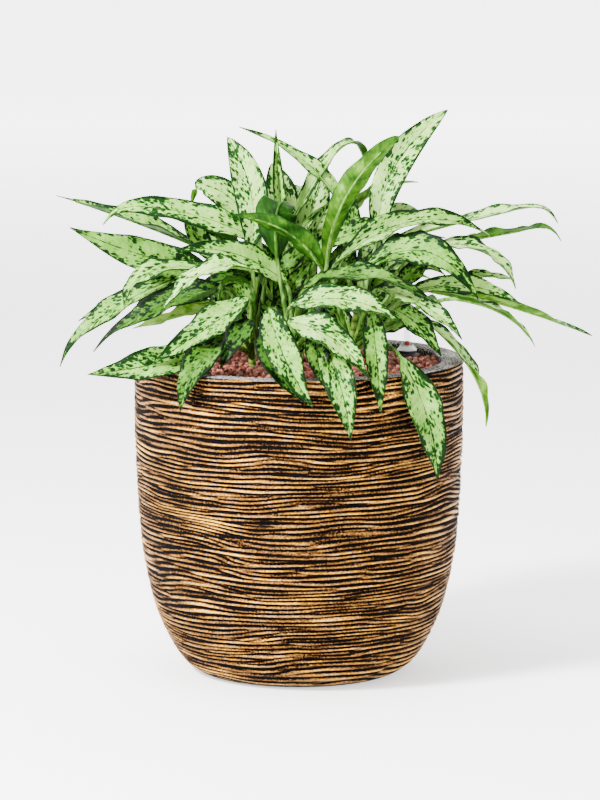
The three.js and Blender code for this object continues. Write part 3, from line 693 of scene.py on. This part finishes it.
# %% Leaf rows: the middle shoot
SHOOTS["shoot_middle"] = {"foot": (0, 10), "top": (2, 8, 515), "leaves": [
    leaf((-64, -5, 552), (-62, 5, 624), (-93, 30, 695), 46, (0, -1, 0),
         widest=0.5, taper=0.85, tone=0),
    leaf((-17, 10, 565), (-26, 15, 634), (-30, 25, 705), 28, (0, -1, 0), fold=55, tone=0.2),
    leaf((-21, -15, 528), (-3, -15, 545), (30, -14, 568), 26, (0, -3, 2), tone=0.9),
    leaf((-32, -8, 476), (-9, -10, 506), (21, -16, 546), 28, (0, -3, 1), tone=0.8),
    leaf((1, 25, 561), (12, 25, 585), (35, 25, 607), 20, (0, -1, 0), fold=55, tone=-0.35),
    leaf((34, 2, 556), (82, 10, 575), (134, 14, 586), 36, (0, -1, 1), tone=0.55),
    leaf((35, -20, 532), (60, -45, 625), (127, -60, 703), 34, (-1, 3, 1),
         widest=0.58, taper=0.65, tone=0),
    leaf((60, 12, 534), (68, 17, 577), (74, 20, 616), 30, (0, -4, 1), tone=0.5),
]}

# %% Leaf rows: the back shoot
SHOOTS["shoot_back"] = {"foot": (10, 75), "top": (10, 78, 520), "leaves": [
    leaf((-18, 20, 568), (58, 65, 682), (92, 110, 632), 30, (0, 0, 1), tone=0.1),
    leaf((-21, 42, 553), (-22, 56, 606), (-36, 72, 657), 46, (0, -1, 0),
         widest=0.5, taper=0.8, tone=-0.4),
    leaf((5, 60, 544), (18, 75, 602), (38, 90, 661), 50, (0, -4, 1), tone=-0.8),
    leaf((72, 27, 573), (18, 34, 654), (-78, 55, 706), 29, (2, -2, 2), tone=0.2),
    leaf((17, 40, 559), (25, 42, 580), (40, 45, 606), 28, (0, -3, 1), tone=-0.1),
]}

# %% Leaf rows: the front right shoot
SHOOTS["shoot_front_right"] = {"foot": (65, -30), "top": (74, -48, 485), "leaves": [
    leaf((103, -90, 512), (164, -120, 490), (206, -140, 452), 30, (1, -2, 2), tone=0.1),
    leaf((123, -60, 480), (152, -75, 462), (182, -90, 424), 36, (1, -3, 2), tone=0.5),
    leaf((166, -50, 465), (225, -62, 398), (241, -65, 329), 34, (2, 0, 1), twist=-90, tone=-0.2),
    leaf((128, -172, 434), (163, -168, 353), (175, -160, 275), 46, (1, -4, 1), tone=0.42),
    leaf((91, -120, 487), (97, -188, 435), (102, -202, 367), 32, tone=0.6),
    leaf((87, -30, 533), (166, -60, 554), (229, -85, 496), 48, (0, -3, 2), tone=0.56),
    leaf((95, -6, 535), (121, -12, 552), (147, -16, 539), 28, (0, 1, 2)),
    leaf((45, -25, 535), (151, -10, 590), (251, 0, 567), 42, (0, -2, 3), fold=20, tone=0.3),
    leaf((131, -30, 512), (149, -30, 526), (172, -30, 543), 28, tone=0.8),
    leaf((147, -20, 500), (219, -30, 507), (286, -40, 485), 34, (0, -1, 1), tone=0.18),
    leaf((201, -50, 495), (265, -50, 473), (304, -50, 431), 26, (0, 0, 1), tone=0),
]}

# %% Leaf rows: the back right shoot
SHOOTS["shoot_back_right"] = {"foot": (70, 45), "top": (80, 48, 505), "leaves": [
    leaf((185, 20, 557), (266, 25, 570), (342, 30, 582), 32, (0, 1, 4),
         curl=23, taper=0.8, tone=0.1),
    leaf((127, 70, 558), (246, 60, 590), (339, 50, 606), 32, (0, -1, 4),
         curl=26, taper=0.8, tone=-0.3),
    leaf((112, 18, 559), (151, 14, 567), (191, 10, 565), 26, (0, 1, 3), tone=0.6),
    leaf((163, -10, 556), (239, -15, 551), (280, -20, 502), 36, (1, -1, 3), taper=0.75, tone=0),
    leaf((104, 34, 560), (123, 52, 650), (195, 75, 727), 42, (0, -5, 1),
         widest=0.5, taper=0.85, tone=0),
    leaf((151, -2, 505), (262, 2, 481), (382, 0, 438), 34, (0, 1, 2),
         twist=90, taper=0.85, tone=-0.2),
    leaf((197, 20, 511), (242, 20, 515), (281, 20, 509), 20, (0, -1, 2), tone=-0.2),
    leaf((127, 60, 528), (157, 60, 529), (192, 60, 511), 34, (0, -3, 4)),
    leaf((107, 60, 566), (130, 60, 592), (158, 60, 595), 30, tone=-0.3),
    leaf((53, 58, 570), (95, 62, 619), (157, 74, 632), 30, (0, 2, 3), tone=-0.7),
]}

# %% [markdown]
# Leaves on the side turned away
#
# The photo doesn't show the back of the plant. Leaves of the same kind are spread there by the
# golden-angle rule that plants follow: low ones reach far and hang, and high ones stand up.

# %% Leaves at the back
GOLDEN = 0.618
BACK_LEAVES = [
    {"shoot": "shoot_back_left", "count": 5, "from": 88, "to": 150, "highest": 515},
    {"shoot": "shoot_back", "count": 6, "from": 76, "to": 134, "highest": 560},
    {"shoot": "shoot_back_right", "count": 5, "from": 44, "to": 80, "highest": 498},
]


def back_leaf(shoot, group, index):
    level = index / (group["count"] - 1)  # 0 for the lowest leaf and 1 for the highest
    share = (index * GOLDEN + 0.2) % 1
    bearing = math.radians(group["from"] + (group["to"] - group["from"]) * share)
    vary = math.sin(2.4 * index + group["from"])

    def mix(low, high):
        return low + (high - low) * level

    def place(reach, height, turn=0.0):
        x, y = shoot["foot"]
        return (x + reach * math.cos(bearing + turn), y + reach * math.sin(bearing + turn), height)

    start = mix(446, group["highest"])
    return leaf(
        place(mix(62, 34), start),
        place(mix(146, 92) + 6 * vary, start + mix(18, 44) + 5 * vary),
        place(mix(222, 158) + 10 * vary, start + mix(-30, 52) - 8 * vary, 0.12 * vary),
        mix(46, 36),
        (0.5 * vary - math.cos(bearing) * level, -math.sin(bearing) * level, 1),
    )


for group in BACK_LEAVES:
    shoot = SHOOTS[group["shoot"]]
    shoot["leaves"] += [back_leaf(shoot, group, index) for index in range(group["count"])]
print("leaves", sum(len(shoot["leaves"]) for shoot in SHOOTS.values()))

# %% [markdown]
# Leaves deep inside
#
# Between the shoots the plant is full of short leaves that stand close to the canes and stay in
# shade. They are hardly seen one by one, but without them light and the floor would show through
# the plant.

# %% Leaves deep inside
# the inner leaves get a high tone, which paints them dark green as painted shade
INNER_SHADE_TONE = 0.75
INNER_LEAVES = {
    "shoot_front_left": [
        leaf((-66, -8, 438), (-104, -4, 470), (-148, 0, 482), 34, (0, -2, 2)),
        leaf((-70, -20, 430), (-92, -14, 470), (-108, -8, 508), 34),
    ],
    "shoot_back_left": [
        leaf((-62, 34, 462), (-88, 32, 502), (-116, 30, 530), 38),
        leaf((-50, 44, 450), (-58, 48, 500), (-64, 54, 550), 40),
        leaf((-66, 46, 440), (-106, 50, 462), (-150, 54, 466), 38),
    ],
    "shoot_front": [
        leaf((-16, -50, 428), (-34, -38, 466), (-50, -28, 500), 32),
        leaf((-2, -52, 424), (14, -40, 462), (30, -30, 492), 30),
    ],
    "shoot_middle": [
        leaf((-4, 26, 446), (-16, 30, 496), (-24, 36, 548), 42),
        leaf((8, 22, 442), (28, 26, 490), (46, 32, 538), 42),
        leaf((2, 34, 470), (6, 40, 532), (8, 48, 592), 40),
    ],
    "shoot_back": [
        leaf((22, 82, 462), (54, 86, 516), (72, 92, 570), 46),
        leaf((-2, 86, 462), (-40, 88, 514), (-66, 92, 566), 46),
    ],
    "shoot_front_right": [
        leaf((78, -18, 436), (94, -12, 478), (114, -6, 512), 36),
        leaf((68, -26, 428), (50, -16, 468), (34, -8, 502), 34),
    ],
    "shoot_back_right": [
        leaf((84, 40, 452), (112, 38, 496), (144, 36, 522), 40),
        leaf((76, 58, 456), (92, 62, 508), (110, 68, 558), 42),
        leaf((92, 42, 436), (132, 40, 456), (172, 38, 452), 36),
    ],
}
for shoot_name, rows in INNER_LEAVES.items():
    for row in rows:
        row["tone"] = INNER_SHADE_TONE
    SHOOTS[shoot_name]["leaves"] += rows
print("leaves with the inner ones", sum(len(shoot["leaves"]) for shoot in SHOOTS.values()))

# %% [markdown]
# Leaf finish, upper side
#
# The upper side is silver green where the cells under the skin hold air, and dark green where
# they don't. The dark flecks are a few millimetres long and follow the side veins, which leave
# the midrib at a slant. They crowd towards the margin, where a ragged dark line runs round the
# blade, and the midrib is a thin dark line too. So the pattern is built on the blade's own
# millimetres: across it, along it, in from its margin, and which leaf it is, so that no two
# leaves are alike. An image could show one real leaf, but then every leaf would be that leaf.
#
# A Voronoi texture gives each fleck its cell and its luck, and a noise makes its edge ragged. The
# skin is waxy but fine grained, so it is satin: it catches the light broadly, and its specular is
# low.


# %% Leaf finish: what both sides are drawn from
VEIN_PITCH = 8.0
VEIN_SLANT = 0.9  # how far a side vein runs towards the tip for each millimetre outwards
VEIN_WANDER = 9.0


def blade_basics(add, cloud_scale, cloud_detail):
    """Reads the blade's own millimetres, margin and tone, and draws a cloud and its side veins."""
    blade_mm = add("Attribute", out="Vector", attribute_name="blade_mm")
    margin_mm = add("Attribute", out="Fac", attribute_name="margin_mm")
    tone = add("Attribute", out="Fac", attribute_name="tone")
    own = add("SeparateXYZ", {"Vector": blade_mm}).node.outputs
    out_mm = add("Math", {0: own["X"]}, operation="ABSOLUTE")
    slanted = add("Math", {0: out_mm, 1: -VEIN_SLANT, 2: own["Y"]}, operation="MULTIPLY_ADD")
    cloud = add("TexNoise", {"Vector": blade_mm, "Scale": cloud_scale, "Detail": cloud_detail})
    bent = add("Math", {0: cloud, 1: VEIN_WANDER, 2: slanted}, operation="MULTIPLY_ADD")
    phase = add("Math", {0: bent, 1: TURN / VEIN_PITCH}, operation="MULTIPLY")
    veins = add("Math", {0: phase}, operation="SINE")
    return margin_mm, tone, own, out_mm, cloud, veins


# %% Leaf finish, upper side: flecks
FLECKS = (0.30, 0.17, 1.37)  # to a millimetre: 3.3 mm wide, 5.9 mm long, and the last parts leaves
FEATHERS = (0.05, 0.22, 1.37)  # 20 mm wide and 4.5 mm long
leaf_upper, shader, add = new_material("Silver evergreen leaf, upper side", Specular_IOR_Level=0.06)
margin_mm, leaf_tone_and_shade, own, out_mm, cloud, veins = blade_basics(add, 0.035, 2.0)
half_slant = add("Math", {0: out_mm, 1: -VEIN_SLANT / 2, 2: own["Y"]}, operation="MULTIPLY_ADD")
along_vein = add("CombineXYZ", {"X": own["X"], "Y": half_slant, "Z": own["Z"]})
fleck_space = add("Mapping", {"Vector": along_vein, "Scale": FLECKS})
ragged = add("TexNoise", {"Vector": fleck_space, "Scale": 2.2, "Detail": 1.0})
clumps = add("TexNoise", {"Vector": fleck_space, "Scale": 0.16, "Detail": 0.0})
cells = add("TexVoronoi", {"Vector": fleck_space, "Scale": 1.0}).node.outputs
luck = add("SeparateColor", {"Color": cells["Color"]}, out="Red")

# %% Leaf finish, upper side: margin, midrib and the whole pattern
CROWDED = 9.0  # flecks crowd within so many millimetres of the margin
crowd = add("MapRange", {"Value": margin_mm, "From Max": CROWDED, "To Min": 0.6, "To Max": 0.0},
            interpolation_type="SMOOTHSTEP")
line = add("Math", {0: clumps, 1: -6.0, 2: margin_mm}, operation="MULTIPLY_ADD")
margin_line = add("MapRange", {"Value": line, "From Min": -1.2, "From Max": -2.2, "To Max": 1.4})
midrib_line = add("MapRange", {"Value": out_mm, "From Min": 1.0, "From Max": 0.35, "To Max": 0.9})
marked = luck
for pattern, weight in [
    (cells["Distance"], -1.0), (ragged, 0.9), (clumps, 1.5), (crowd, 1.0), (leaf_tone_and_shade, 0.2),
    (margin_line, 1.0), (midrib_line, 1.0),
]:
    marked = add("Math", {0: pattern, 1: weight, 2: marked}, operation="MULTIPLY_ADD")
LEAST_MARKED, MOST_MARKED = 0.31, 2.71  # the lower they are, the more of a leaf is dark
centred = add("MapRange", {"Value": marked, "From Min": LEAST_MARKED, "From Max": MOST_MARKED})
flecked = add("ValToRGB", {"Fac": centred}, stops=[
    (0.20, "#9bbf6b"), (0.40, "#94bb62"), (0.48, "#7aa94d"), (0.52, "#3c6f29"), (0.55, "#0f380d"),
    (0.85, "#072004"),
])

# %% Leaf finish, upper side: colour, quilting and gloss
feather_space = add("Mapping", {"Vector": along_vein, "Scale": FEATHERS})
feather = add("TexNoise", {"Vector": feather_space, "Scale": 1.0, "Detail": 2.0})
streaky = add("MapRange", {
    "Value": feather, "From Min": 0.3, "From Max": 0.7, "To Min": -0.12, "To Max": 0.12,
})
# a high tone paints a leaf greener and darker: partly its own colour, partly painted shade
greener_and_shaded = add("Math", {0: cloud, 1: 0.8, 2: leaf_tone_and_shade}, operation="MULTIPLY_ADD")
greener_and_shaded = add("Math", {0: greener_and_shaded, 1: streaky}, operation="ADD")
greener_and_shaded = add("Math", {0: greener_and_shaded, 1: 0.7}, operation="MULTIPLY")
shade = add("ValToRGB", {"Fac": greener_and_shaded}, stops=[
    (0.2, "#ffffff"), (0.45, "#d0e1b8"), (0.7, "#9cb87a"), (1.0, "#4f6e35"),
])
shaded = add("Mix", {"Factor": 1.0, MIX_A: flecked, MIX_B: shade},
             out=MIX_RESULT, data_type="RGBA", blend_type="MULTIPLY")
quilt = add("Bump", {"Height": veins, "Strength": 0.3, "Distance": 0.25 * MM})
gloss = add("MapRange", {"Value": ragged, "To Min": 0.62, "To Max": 0.46})
wire(shader, {"Base Color": shaded, "Roughness": gloss, "Normal": quilt})

# %% [markdown]
# Leaf finish, underside
#
# Underneath there is no silver: the blade is a fresh mid green, a little cloudy, with thin side
# veins that show lighter against it and a darker line along the margin. A leaf with more tone is
# darker here, partly its own colour and partly painted shade.

# %% Leaf finish, underside
leaf_under, shader, add = new_material("Silver evergreen leaf, underside", Roughness=0.5,
                                       Specular_IOR_Level=0.07)
margin_mm, leaf_tone_and_shade, own, out_mm, cloud, veins = blade_basics(add, 0.06, 3.0)
thin_veins = add("MapRange", {"Value": veins, "From Min": 0.5, "To Max": 0.06})
dark_line = add("MapRange", {"Value": margin_mm, "From Min": 2.5, "From Max": 0.8, "To Max": -0.1})
mixed = cloud
for pattern, weight in [(thin_veins, 1.0), (leaf_tone_and_shade, -0.35), (dark_line, 1.0)]:
    mixed = add("Math", {0: pattern, 1: weight, 2: mixed}, operation="MULTIPLY_ADD")
green = add("ValToRGB", {"Fac": mixed}, stops=[
    (0.1, "#061e02"), (0.35, "#163d04"), (0.6, "#406c0e"), (0.78, "#769e40"),
])
quilt = add("Bump", {"Height": veins, "Strength": 0.3, "Distance": 0.3 * MM})
wire(shader, {"Base Color": green, "Normal": quilt})

# %% [markdown]
# Stalk finishes
#
# A petiole is juicy and light green, a little darker in streaks along it, with the soft gloss of
# a waxed skin, and its leaf's tone paints it darker still, as painted shade. The streaks are drawn
# 4 mm wide, coarser than they are, so that they show. The cane at the foot is the old stem:
# duller, a browner green, and ringed by the scars of the leaves that it has dropped.

# %% Stalk finishes: petioles
petiole_skin, shader, add = new_material("Petiole skin", Specular_IOR_Level=0.1)
where = add("TexCoord", out="Object")
drawn_out = add("Mapping", {"Vector": where, "Scale": (1, 1, 0.2)})
streak = add("TexNoise", {"Vector": drawn_out, "Scale": cells_of(4), "Detail": 3.0})
own_tone = add("Attribute", out="Fac", attribute_name="tone")
# the leaf's tone, at most SHADED_TONE, darkens the petiole: painted shade
streak_and_shade = add("Math", {0: own_tone, 1: -0.4, 2: streak}, operation="MULTIPLY_ADD")
green = add("ValToRGB", {"Fac": streak_and_shade}, stops=[
    (0.0, "#0e2604"), (0.3, "#284f0c"), (0.6, "#6c9440"),
])
waxed = add("MapRange", {"Value": streak, "To Min": 0.55, "To Max": 0.35})
wire(shader, {"Base Color": green, "Roughness": waxed})

# %% Stalk finishes: canes
cane_bark, shader, add = new_material("Ringed cane", Roughness=0.55, Specular_IOR_Level=0.1)
where = add("TexCoord", out="Object")
rings = add("TexWave", {
    "Vector": where, "Scale": cells_of(36), "Distortion": 3.0, "Detail": 2.0,
}, out="Fac", bands_direction="Z")
bark = add("ValToRGB", {"Fac": rings}, stops=[
    (0.0, "#3f5219"), (0.12, "#587427"), (1.0, "#74953f"),
])
scars = add("Bump", {"Height": rings, "Strength": 0.4, "Distance": 0.6 * MM})
wire(shader, {"Base Color": bark, "Normal": scars})

# %% [markdown]
# One blade
#
# A blade is long and pointed, folded a little along its midrib, with edges that ripple. It could
# be cut from a plane by hand, but with this many leaves a grid that is bent to its midrib is
# quicker and follows the CAD leaf exactly. The grid starts as a square from -1 to 1: its first
# axis goes across the blade and its second along it. Solidify then gives it the thickness of a
# leaf and an underside with its own finish.


# %% Blade: its midrib and its width
CURL_FROM = 0.75  # the share of the length where a curl starts


def midrib_point(blade, t):
    bend = 2 * blade["mid"] - 0.5 * blade["base"] - 0.5 * blade["tip"]
    point = (1 - t) ** 2 * blade["base"] + 2 * t * (1 - t) * bend + t * t * blade["tip"]
    curled = max(0.0, (t - CURL_FROM) / (1 - CURL_FROM))
    point.z -= blade["curl"] * curled ** 3
    return point


def midrib_frame(blade, t):
    """The directions along the midrib, across the blade and up from its upper side."""
    ahead, behind = midrib_point(blade, min(1, t + 0.01)), midrib_point(blade, max(0, t - 0.01))
    along = (ahead - behind).normalized()
    across = (blade["tip"] - blade["base"]).cross(blade["face"]).normalized()
    across = (across - along * across.dot(along)).normalized()
    across = Matrix.Rotation(blade["twist"] * (t - 0.5), 3, along) @ across
    return along, across, across.cross(along)


def half_width(blade, t):
    fall = blade["taper"]
    rise = fall * blade["widest"] / (1 - blade["widest"])
    peak = blade["widest"] ** rise * (1 - blade["widest"]) ** fall
    least = 0.5 + 1.4 * (1 - t)  # a blade is never narrower, so that its tip is whole
    return least + (blade["width"] / 2 - least) * (t ** rise * (1 - t) ** fall) / peak


# %% Blade: its cross-section
RIPPLE = 0.19  # the height of a wave at the edge, as a share of the half width
WAVES = 2.3
FLUTTER = 0.35  # a smaller and quicker wave on it
FLUTTERS = 5.1
CREASE_DEPTH = 0.8
CREASE_WIDTH = 1.6


def blade_point(blade, number, side, t):
    """Side runs from -1 at the left edge over 0 on the midrib to 1 at the right edge.

    The phases 1.7, 2 and 2.9 only part the waves of leaves and sides from each other."""
    along, across, up = midrib_frame(blade, t)
    half = half_width(blade, t)
    wave = math.sin(TURN * WAVES * t + 1.7 * number + 2 * (1 if side > 0 else -1))
    flutter = FLUTTER * math.sin(TURN * FLUTTERS * t + 2.9 * number + side)
    rise = math.sin(blade["fold"]) * (abs(side) ** 1.25) + RIPPLE * (wave + flutter) * side * side
    crease = CREASE_DEPTH * math.exp(-(side * half / CREASE_WIDTH) ** 2)
    lift = half * rise - crease * min(1.0, 6 * (1 - t))
    return midrib_point(blade, t) + across * (side * half * math.cos(blade["fold"])) + up * lift


# %% Blade: its grid, its tone and its finishing
BLADE_THICKNESS = 0.9
ACROSS = 12
ALONG = 34
BUNCHING = 0.45  # rows stand closer at the base and the tip, where the outline turns
NARROW = 8.0  # where a blade is narrower, its margin is drawn thinner, or the tip would be all dark
PATTERN_STEP = 137.0  # millimetres between one leaf's patch of the pattern and the next one's


def leaf_tone_and_shade_of(blade, leaf_index):
    """The row's tone, or one from 0 to 0.5 that the golden ratio spreads over the other leaves."""
    return blade["tone"] if blade["tone"] is not None else (GOLDEN * leaf_index) % 1 * 0.5


def bake_modifier(item, kind, **settings):
    pick(item)
    modifier = item.modifiers.new(kind.title(), kind)
    for key, value in settings.items():
        setattr(modifier, key, value)
    bpy.ops.object.modifier_apply(modifier=modifier.name)


# %% Blade: bend a grid and give it a thickness
def make_blade(blade, number, leaf_index):
    bpy.ops.mesh.primitive_grid_add(x_subdivisions=ACROSS, y_subdivisions=ALONG, size=2)
    piece = bpy.context.object
    place, margin, tone = attributes(
        piece, blade_mm="FLOAT_VECTOR", margin_mm="FLOAT", tone="FLOAT")
    length = (blade["tip"] - blade["base"]).length
    for vertex in piece.data.vertices:
        side = vertex.co.x
        t = 0.5 + 0.5 * vertex.co.y
        t = (1 - BUNCHING) * t + BUNCHING * (0.5 - 0.5 * math.cos(math.pi * t))
        half = half_width(blade, t)
        place[vertex.index].vector = (side * half, t * length, PATTERN_STEP * leaf_index)
        margin[vertex.index].value = (1 - abs(side)) * max(half, NARROW)
        tone[vertex.index].value = leaf_tone_and_shade_of(blade, leaf_index)
        vertex.co = blade_point(blade, number, side, t) * MM
    piece.data.materials.append(leaf_upper)
    piece.data.materials.append(leaf_under)
    bake_modifier(piece, "SOLIDIFY", thickness=BLADE_THICKNESS * MM, offset=0.0,
                  use_even_offset=True, material_offset=1, material_offset_rim=1)
    return piece


# %% [markdown]
# One stalk
#
# A petiole leaves its cane low down, bends over and runs on as the midrib under the blade. It is
# a round stalk that gets thinner, which is what a Bezier curve with a radius at each point gives.


# %% Stalk: a round one through points
def stalk(name, points, radii, finish):
    """Each point comes with its handle before it and its handle after it."""
    bpy.ops.curve.primitive_bezier_curve_add()
    item = bpy.context.object
    item.name = name
    curve = item.data
    curve.bevel_depth = MM
    curve.bevel_resolution = 3
    curve.resolution_u = 7
    curve.use_fill_caps = True
    spline = curve.splines[0]
    spline.bezier_points.add(len(points) - 2)
    for knot, (before, place, after), radius in zip(spline.bezier_points, points, radii):
        knot.handle_left_type = "FREE"
        knot.handle_right_type = "FREE"
        knot.handle_left = before * MM
        knot.co = place * MM
        knot.handle_right = after * MM
        knot.radius = radius
    pick(item)
    bpy.ops.object.convert(target="MESH")
    item = bpy.context.object
    item.data.materials.clear()
    item.data.materials.append(finish)
    return item


# %% Stalk: petioles
PETIOLE_RADIUS = 2.6
SHEATH = 1.35  # how much thicker a petiole is where it clasps its cane
PETIOLE_RISE = 80  # it starts at least so much lower than its blade
STEEPNESS = 0.9  # and lower still, by this share of how far out its blade is
LOWEST_PETIOLE = 412
MIDRIB_RADIUS = 2.1  # at the base of the blade, and it gets thinner towards the tip
MIDRIB_TIP = 0.35
MIDRIB_STATIONS = (0.0, 0.3, 0.6, 0.86)
SHADED_TONE = 0.4  # no petiole is darker


def make_petiole(shoot, blade, leaf_index):
    base = blade["base"]
    foot = Vector((*shoot["foot"], SOIL_TOP))
    top = Vector(shoot["top"])
    reach = math.hypot(base.x - top.x, base.y - top.y)
    height = min(max(base.z - STEEPNESS * reach - PETIOLE_RISE, LOWEST_PETIOLE), top.z - 6)
    start = foot.lerp(top, (height - foot.z) / (top.z - foot.z))
    length = (base - start).length
    outwards = Vector((base.x - start.x, base.y - start.y, 0)).normalized()
    departure = (outwards * 0.3 + (top - foot).normalized()).normalized()  # mostly up its cane
    points = [(start, start, start + departure * 0.35 * length)]
    radii = [PETIOLE_RADIUS * SHEATH]
    gap = (MIDRIB_STATIONS[2] - MIDRIB_STATIONS[1]) / 3
    for t in MIDRIB_STATIONS:
        along, across, up = midrib_frame(blade, t)
        radius = MIDRIB_RADIUS * (1 - t) + MIDRIB_TIP
        place = midrib_point(blade, t) - up * (0.55 * radius + 0.8)  # partly sunk in the underside
        reach_out = along * gap * (blade["tip"] - base).length
        before = place - (along * 0.14 * length if t == 0 else reach_out)
        points.append((before, place, place + reach_out))
        radii.append(radius)
    petiole = stalk("petiole", points, radii, petiole_skin)
    own_tone = min(SHADED_TONE, leaf_tone_and_shade_of(blade, leaf_index))
    for corner in attributes(petiole, tone="FLOAT")[0]:
        corner.value = own_tone
    return petiole


# %% Stalk: canes
CANE_RADIUS = 5.5
CANE_BOTTOM = 330


def make_cane(shoot):
    x, y = shoot["foot"]
    top = Vector(shoot["top"])
    bottom = Vector((x, y, CANE_BOTTOM))
    collar = Vector((x, y, SOIL_TOP + SOIL_RELIEF + 3))
    up = Vector((0, 0, 8))
    lean = (top - collar) / 3
    points = [
        (bottom, bottom, bottom + up), (collar - up, collar, collar + lean), (top - lean, top, top),
    ]
    return stalk("cane", points, [CANE_RADIUS, CANE_RADIUS * 0.9, CANE_RADIUS * 0.5], cane_bark)


# %% [markdown]
# Growing the shoots
#
# Every shoot is a cane with its petioles and blades, joined into one piece that stands for its
# CAD solid.


# %% Shoots
def join(items, name):
    pick(*items)
    bpy.ops.object.join()
    whole = bpy.context.object
    whole.name = name
    whole.data.name = name
    return whole


leaf_index = 0
for node_name, shoot in SHOOTS.items():
    parts = [make_cane(shoot)]
    for number, blade in enumerate(shoot["leaves"]):
        parts.append(make_petiole(shoot, blade, leaf_index))
        parts.append(make_blade(blade, number, leaf_index))
        leaf_index += 1
    whole = join(parts[::-1], node_name.replace("shoot", "foliage"))
    bpy.ops.object.shade_smooth()
    declare(whole, node_name)

# %% [markdown]
# Stage, light and camera
#
# The object stands on a plain white studio floor of paper that rises into a backdrop. The sweep
# starts 10 m behind it, so that there is room to walk round and look at its back. The paper is
# matt, and it glows a little, more so the further behind, as a backdrop with its own lamps does:
# that keeps it nearly white without washing out the object. Its fibre is drawn 25 mm coarse, as a
# faint cloud. All of this is in metres.

# %% Stage: the sweep
FLOOR_FRONT = -40
SWEEP_START = 10.0
SWEEP_RADIUS = 3.0
SWEEP_STEPS = 16
BACKDROP_HEIGHT = 30
STAGE_WIDTH = 80
profile = [(FLOOR_FRONT, 0), (SWEEP_START, 0)]
for k in range(1, SWEEP_STEPS + 1):
    angle = TURN / 4 * k / SWEEP_STEPS
    profile.append((SWEEP_START + SWEEP_RADIUS * math.sin(angle),
                    SWEEP_RADIUS * (1 - math.cos(angle))))
profile.append((SWEEP_START + SWEEP_RADIUS, BACKDROP_HEIGHT))
draw_line([(-STAGE_WIDTH / 2, y, z) for y, z in profile], unit=1)
bpy.ops.mesh.extrude_edges_move(TRANSFORM_OT_translate={"value": (STAGE_WIDTH, 0, 0)})
bpy.ops.mesh.select_all(action="SELECT")
floor = close_mesh("studio_floor")

# %% Stage: its paper
GLOW_FROM = 2.0
GLOW_NEAR = 0.8
GLOW_FAR = 3.2
paper, shader, add = new_material("Studio paper", Roughness=0.9, Emission_Color=(1, 1, 1, 1))
where = add("TexCoord", out="Object")
fibre = add("TexNoise", {"Vector": where, "Scale": cells_of(25), "Detail": 2.0})
white = add("ValToRGB", {"Fac": fibre}, stops=[(0.0, "#f6f6f6"), (1.0, "#fbfbfb")])
behind = add("SeparateXYZ", {"Vector": where}, out="Y")
glow = add("MapRange", {
    "Value": behind, "From Min": GLOW_FROM, "From Max": SWEEP_START,
    "To Min": GLOW_NEAR, "To Max": GLOW_FAR,
}, interpolation_type="SMOOTHSTEP")
wire(shader, {"Base Color": white, "Emission Strength": glow})
floor.data.materials.append(paper)

# %% [markdown]
# Light and camera
#
# The sky is plain white. The key light is a large soft disk, high at the left in front, and a
# tall strip under it brightens the planter's left side. A weaker disk fills from the right, and
# one overhead lifts the rim and the upper leaves. The camera stands 4.5 m away with a long lens
# and looks down by a few degrees, as in the photo.

# %% Light
world = bpy.data.worlds.new("Studio")
bpy.context.scene.world = world
world.use_nodes = True
world.node_tree.nodes["Background"].inputs["Color"].default_value = (1, 1, 1, 1)
world.node_tree.nodes["Background"].inputs["Strength"].default_value = 0.8


def soft_light(name, place, aim_height, size, power, height=None):
    """A disk, or a rectangle where a height is given, that shines at the object's axis."""
    bpy.ops.object.light_add(type="AREA", location=place)
    lamp = bpy.context.object
    lamp.name = name
    lamp.data.shape = "RECTANGLE" if height else "DISK"
    lamp.data.size = size
    if height:
        lamp.data.size_y = height
    lamp.data.energy = power
    aim = Vector((0, 0, aim_height)) - Vector(place)
    lamp.rotation_euler = aim.to_track_quat("-Z", "Y").to_euler()
    print(name, "light", round(aim.length, 2), "m away,", power, "W")


soft_light("key", (-2.25, -1.75, 2.8), aim_height=0.4, size=0.8, power=610)
soft_light("strip", (-2.1, -1.9, 1.0), aim_height=0.3, size=0.3, power=95, height=1.5)
soft_light("fill", (2.6, -2.0, 1.2), aim_height=0.35, size=1.4, power=75)
soft_light("top", (-0.3, -0.3, 3.2), aim_height=0.5, size=1.2, power=90)

# %% Camera
CAMERA_AT = (1.3 * MM, -4.5, 1.0424)
CAMERA_DOWN = 8.7
FOCAL_PIXELS = 3487
IMAGE_HEIGHT = 800
SENSOR = 36
bpy.ops.object.camera_add(location=CAMERA_AT)
camera = bpy.context.object
camera.rotation_euler = (math.radians(90 - CAMERA_DOWN), 0, 0)
camera.data.sensor_width = SENSOR
camera.data.lens = FOCAL_PIXELS / IMAGE_HEIGHT * SENSOR
bpy.context.scene.camera = camera
print("camera lens", round(camera.data.lens, 1), "mm")
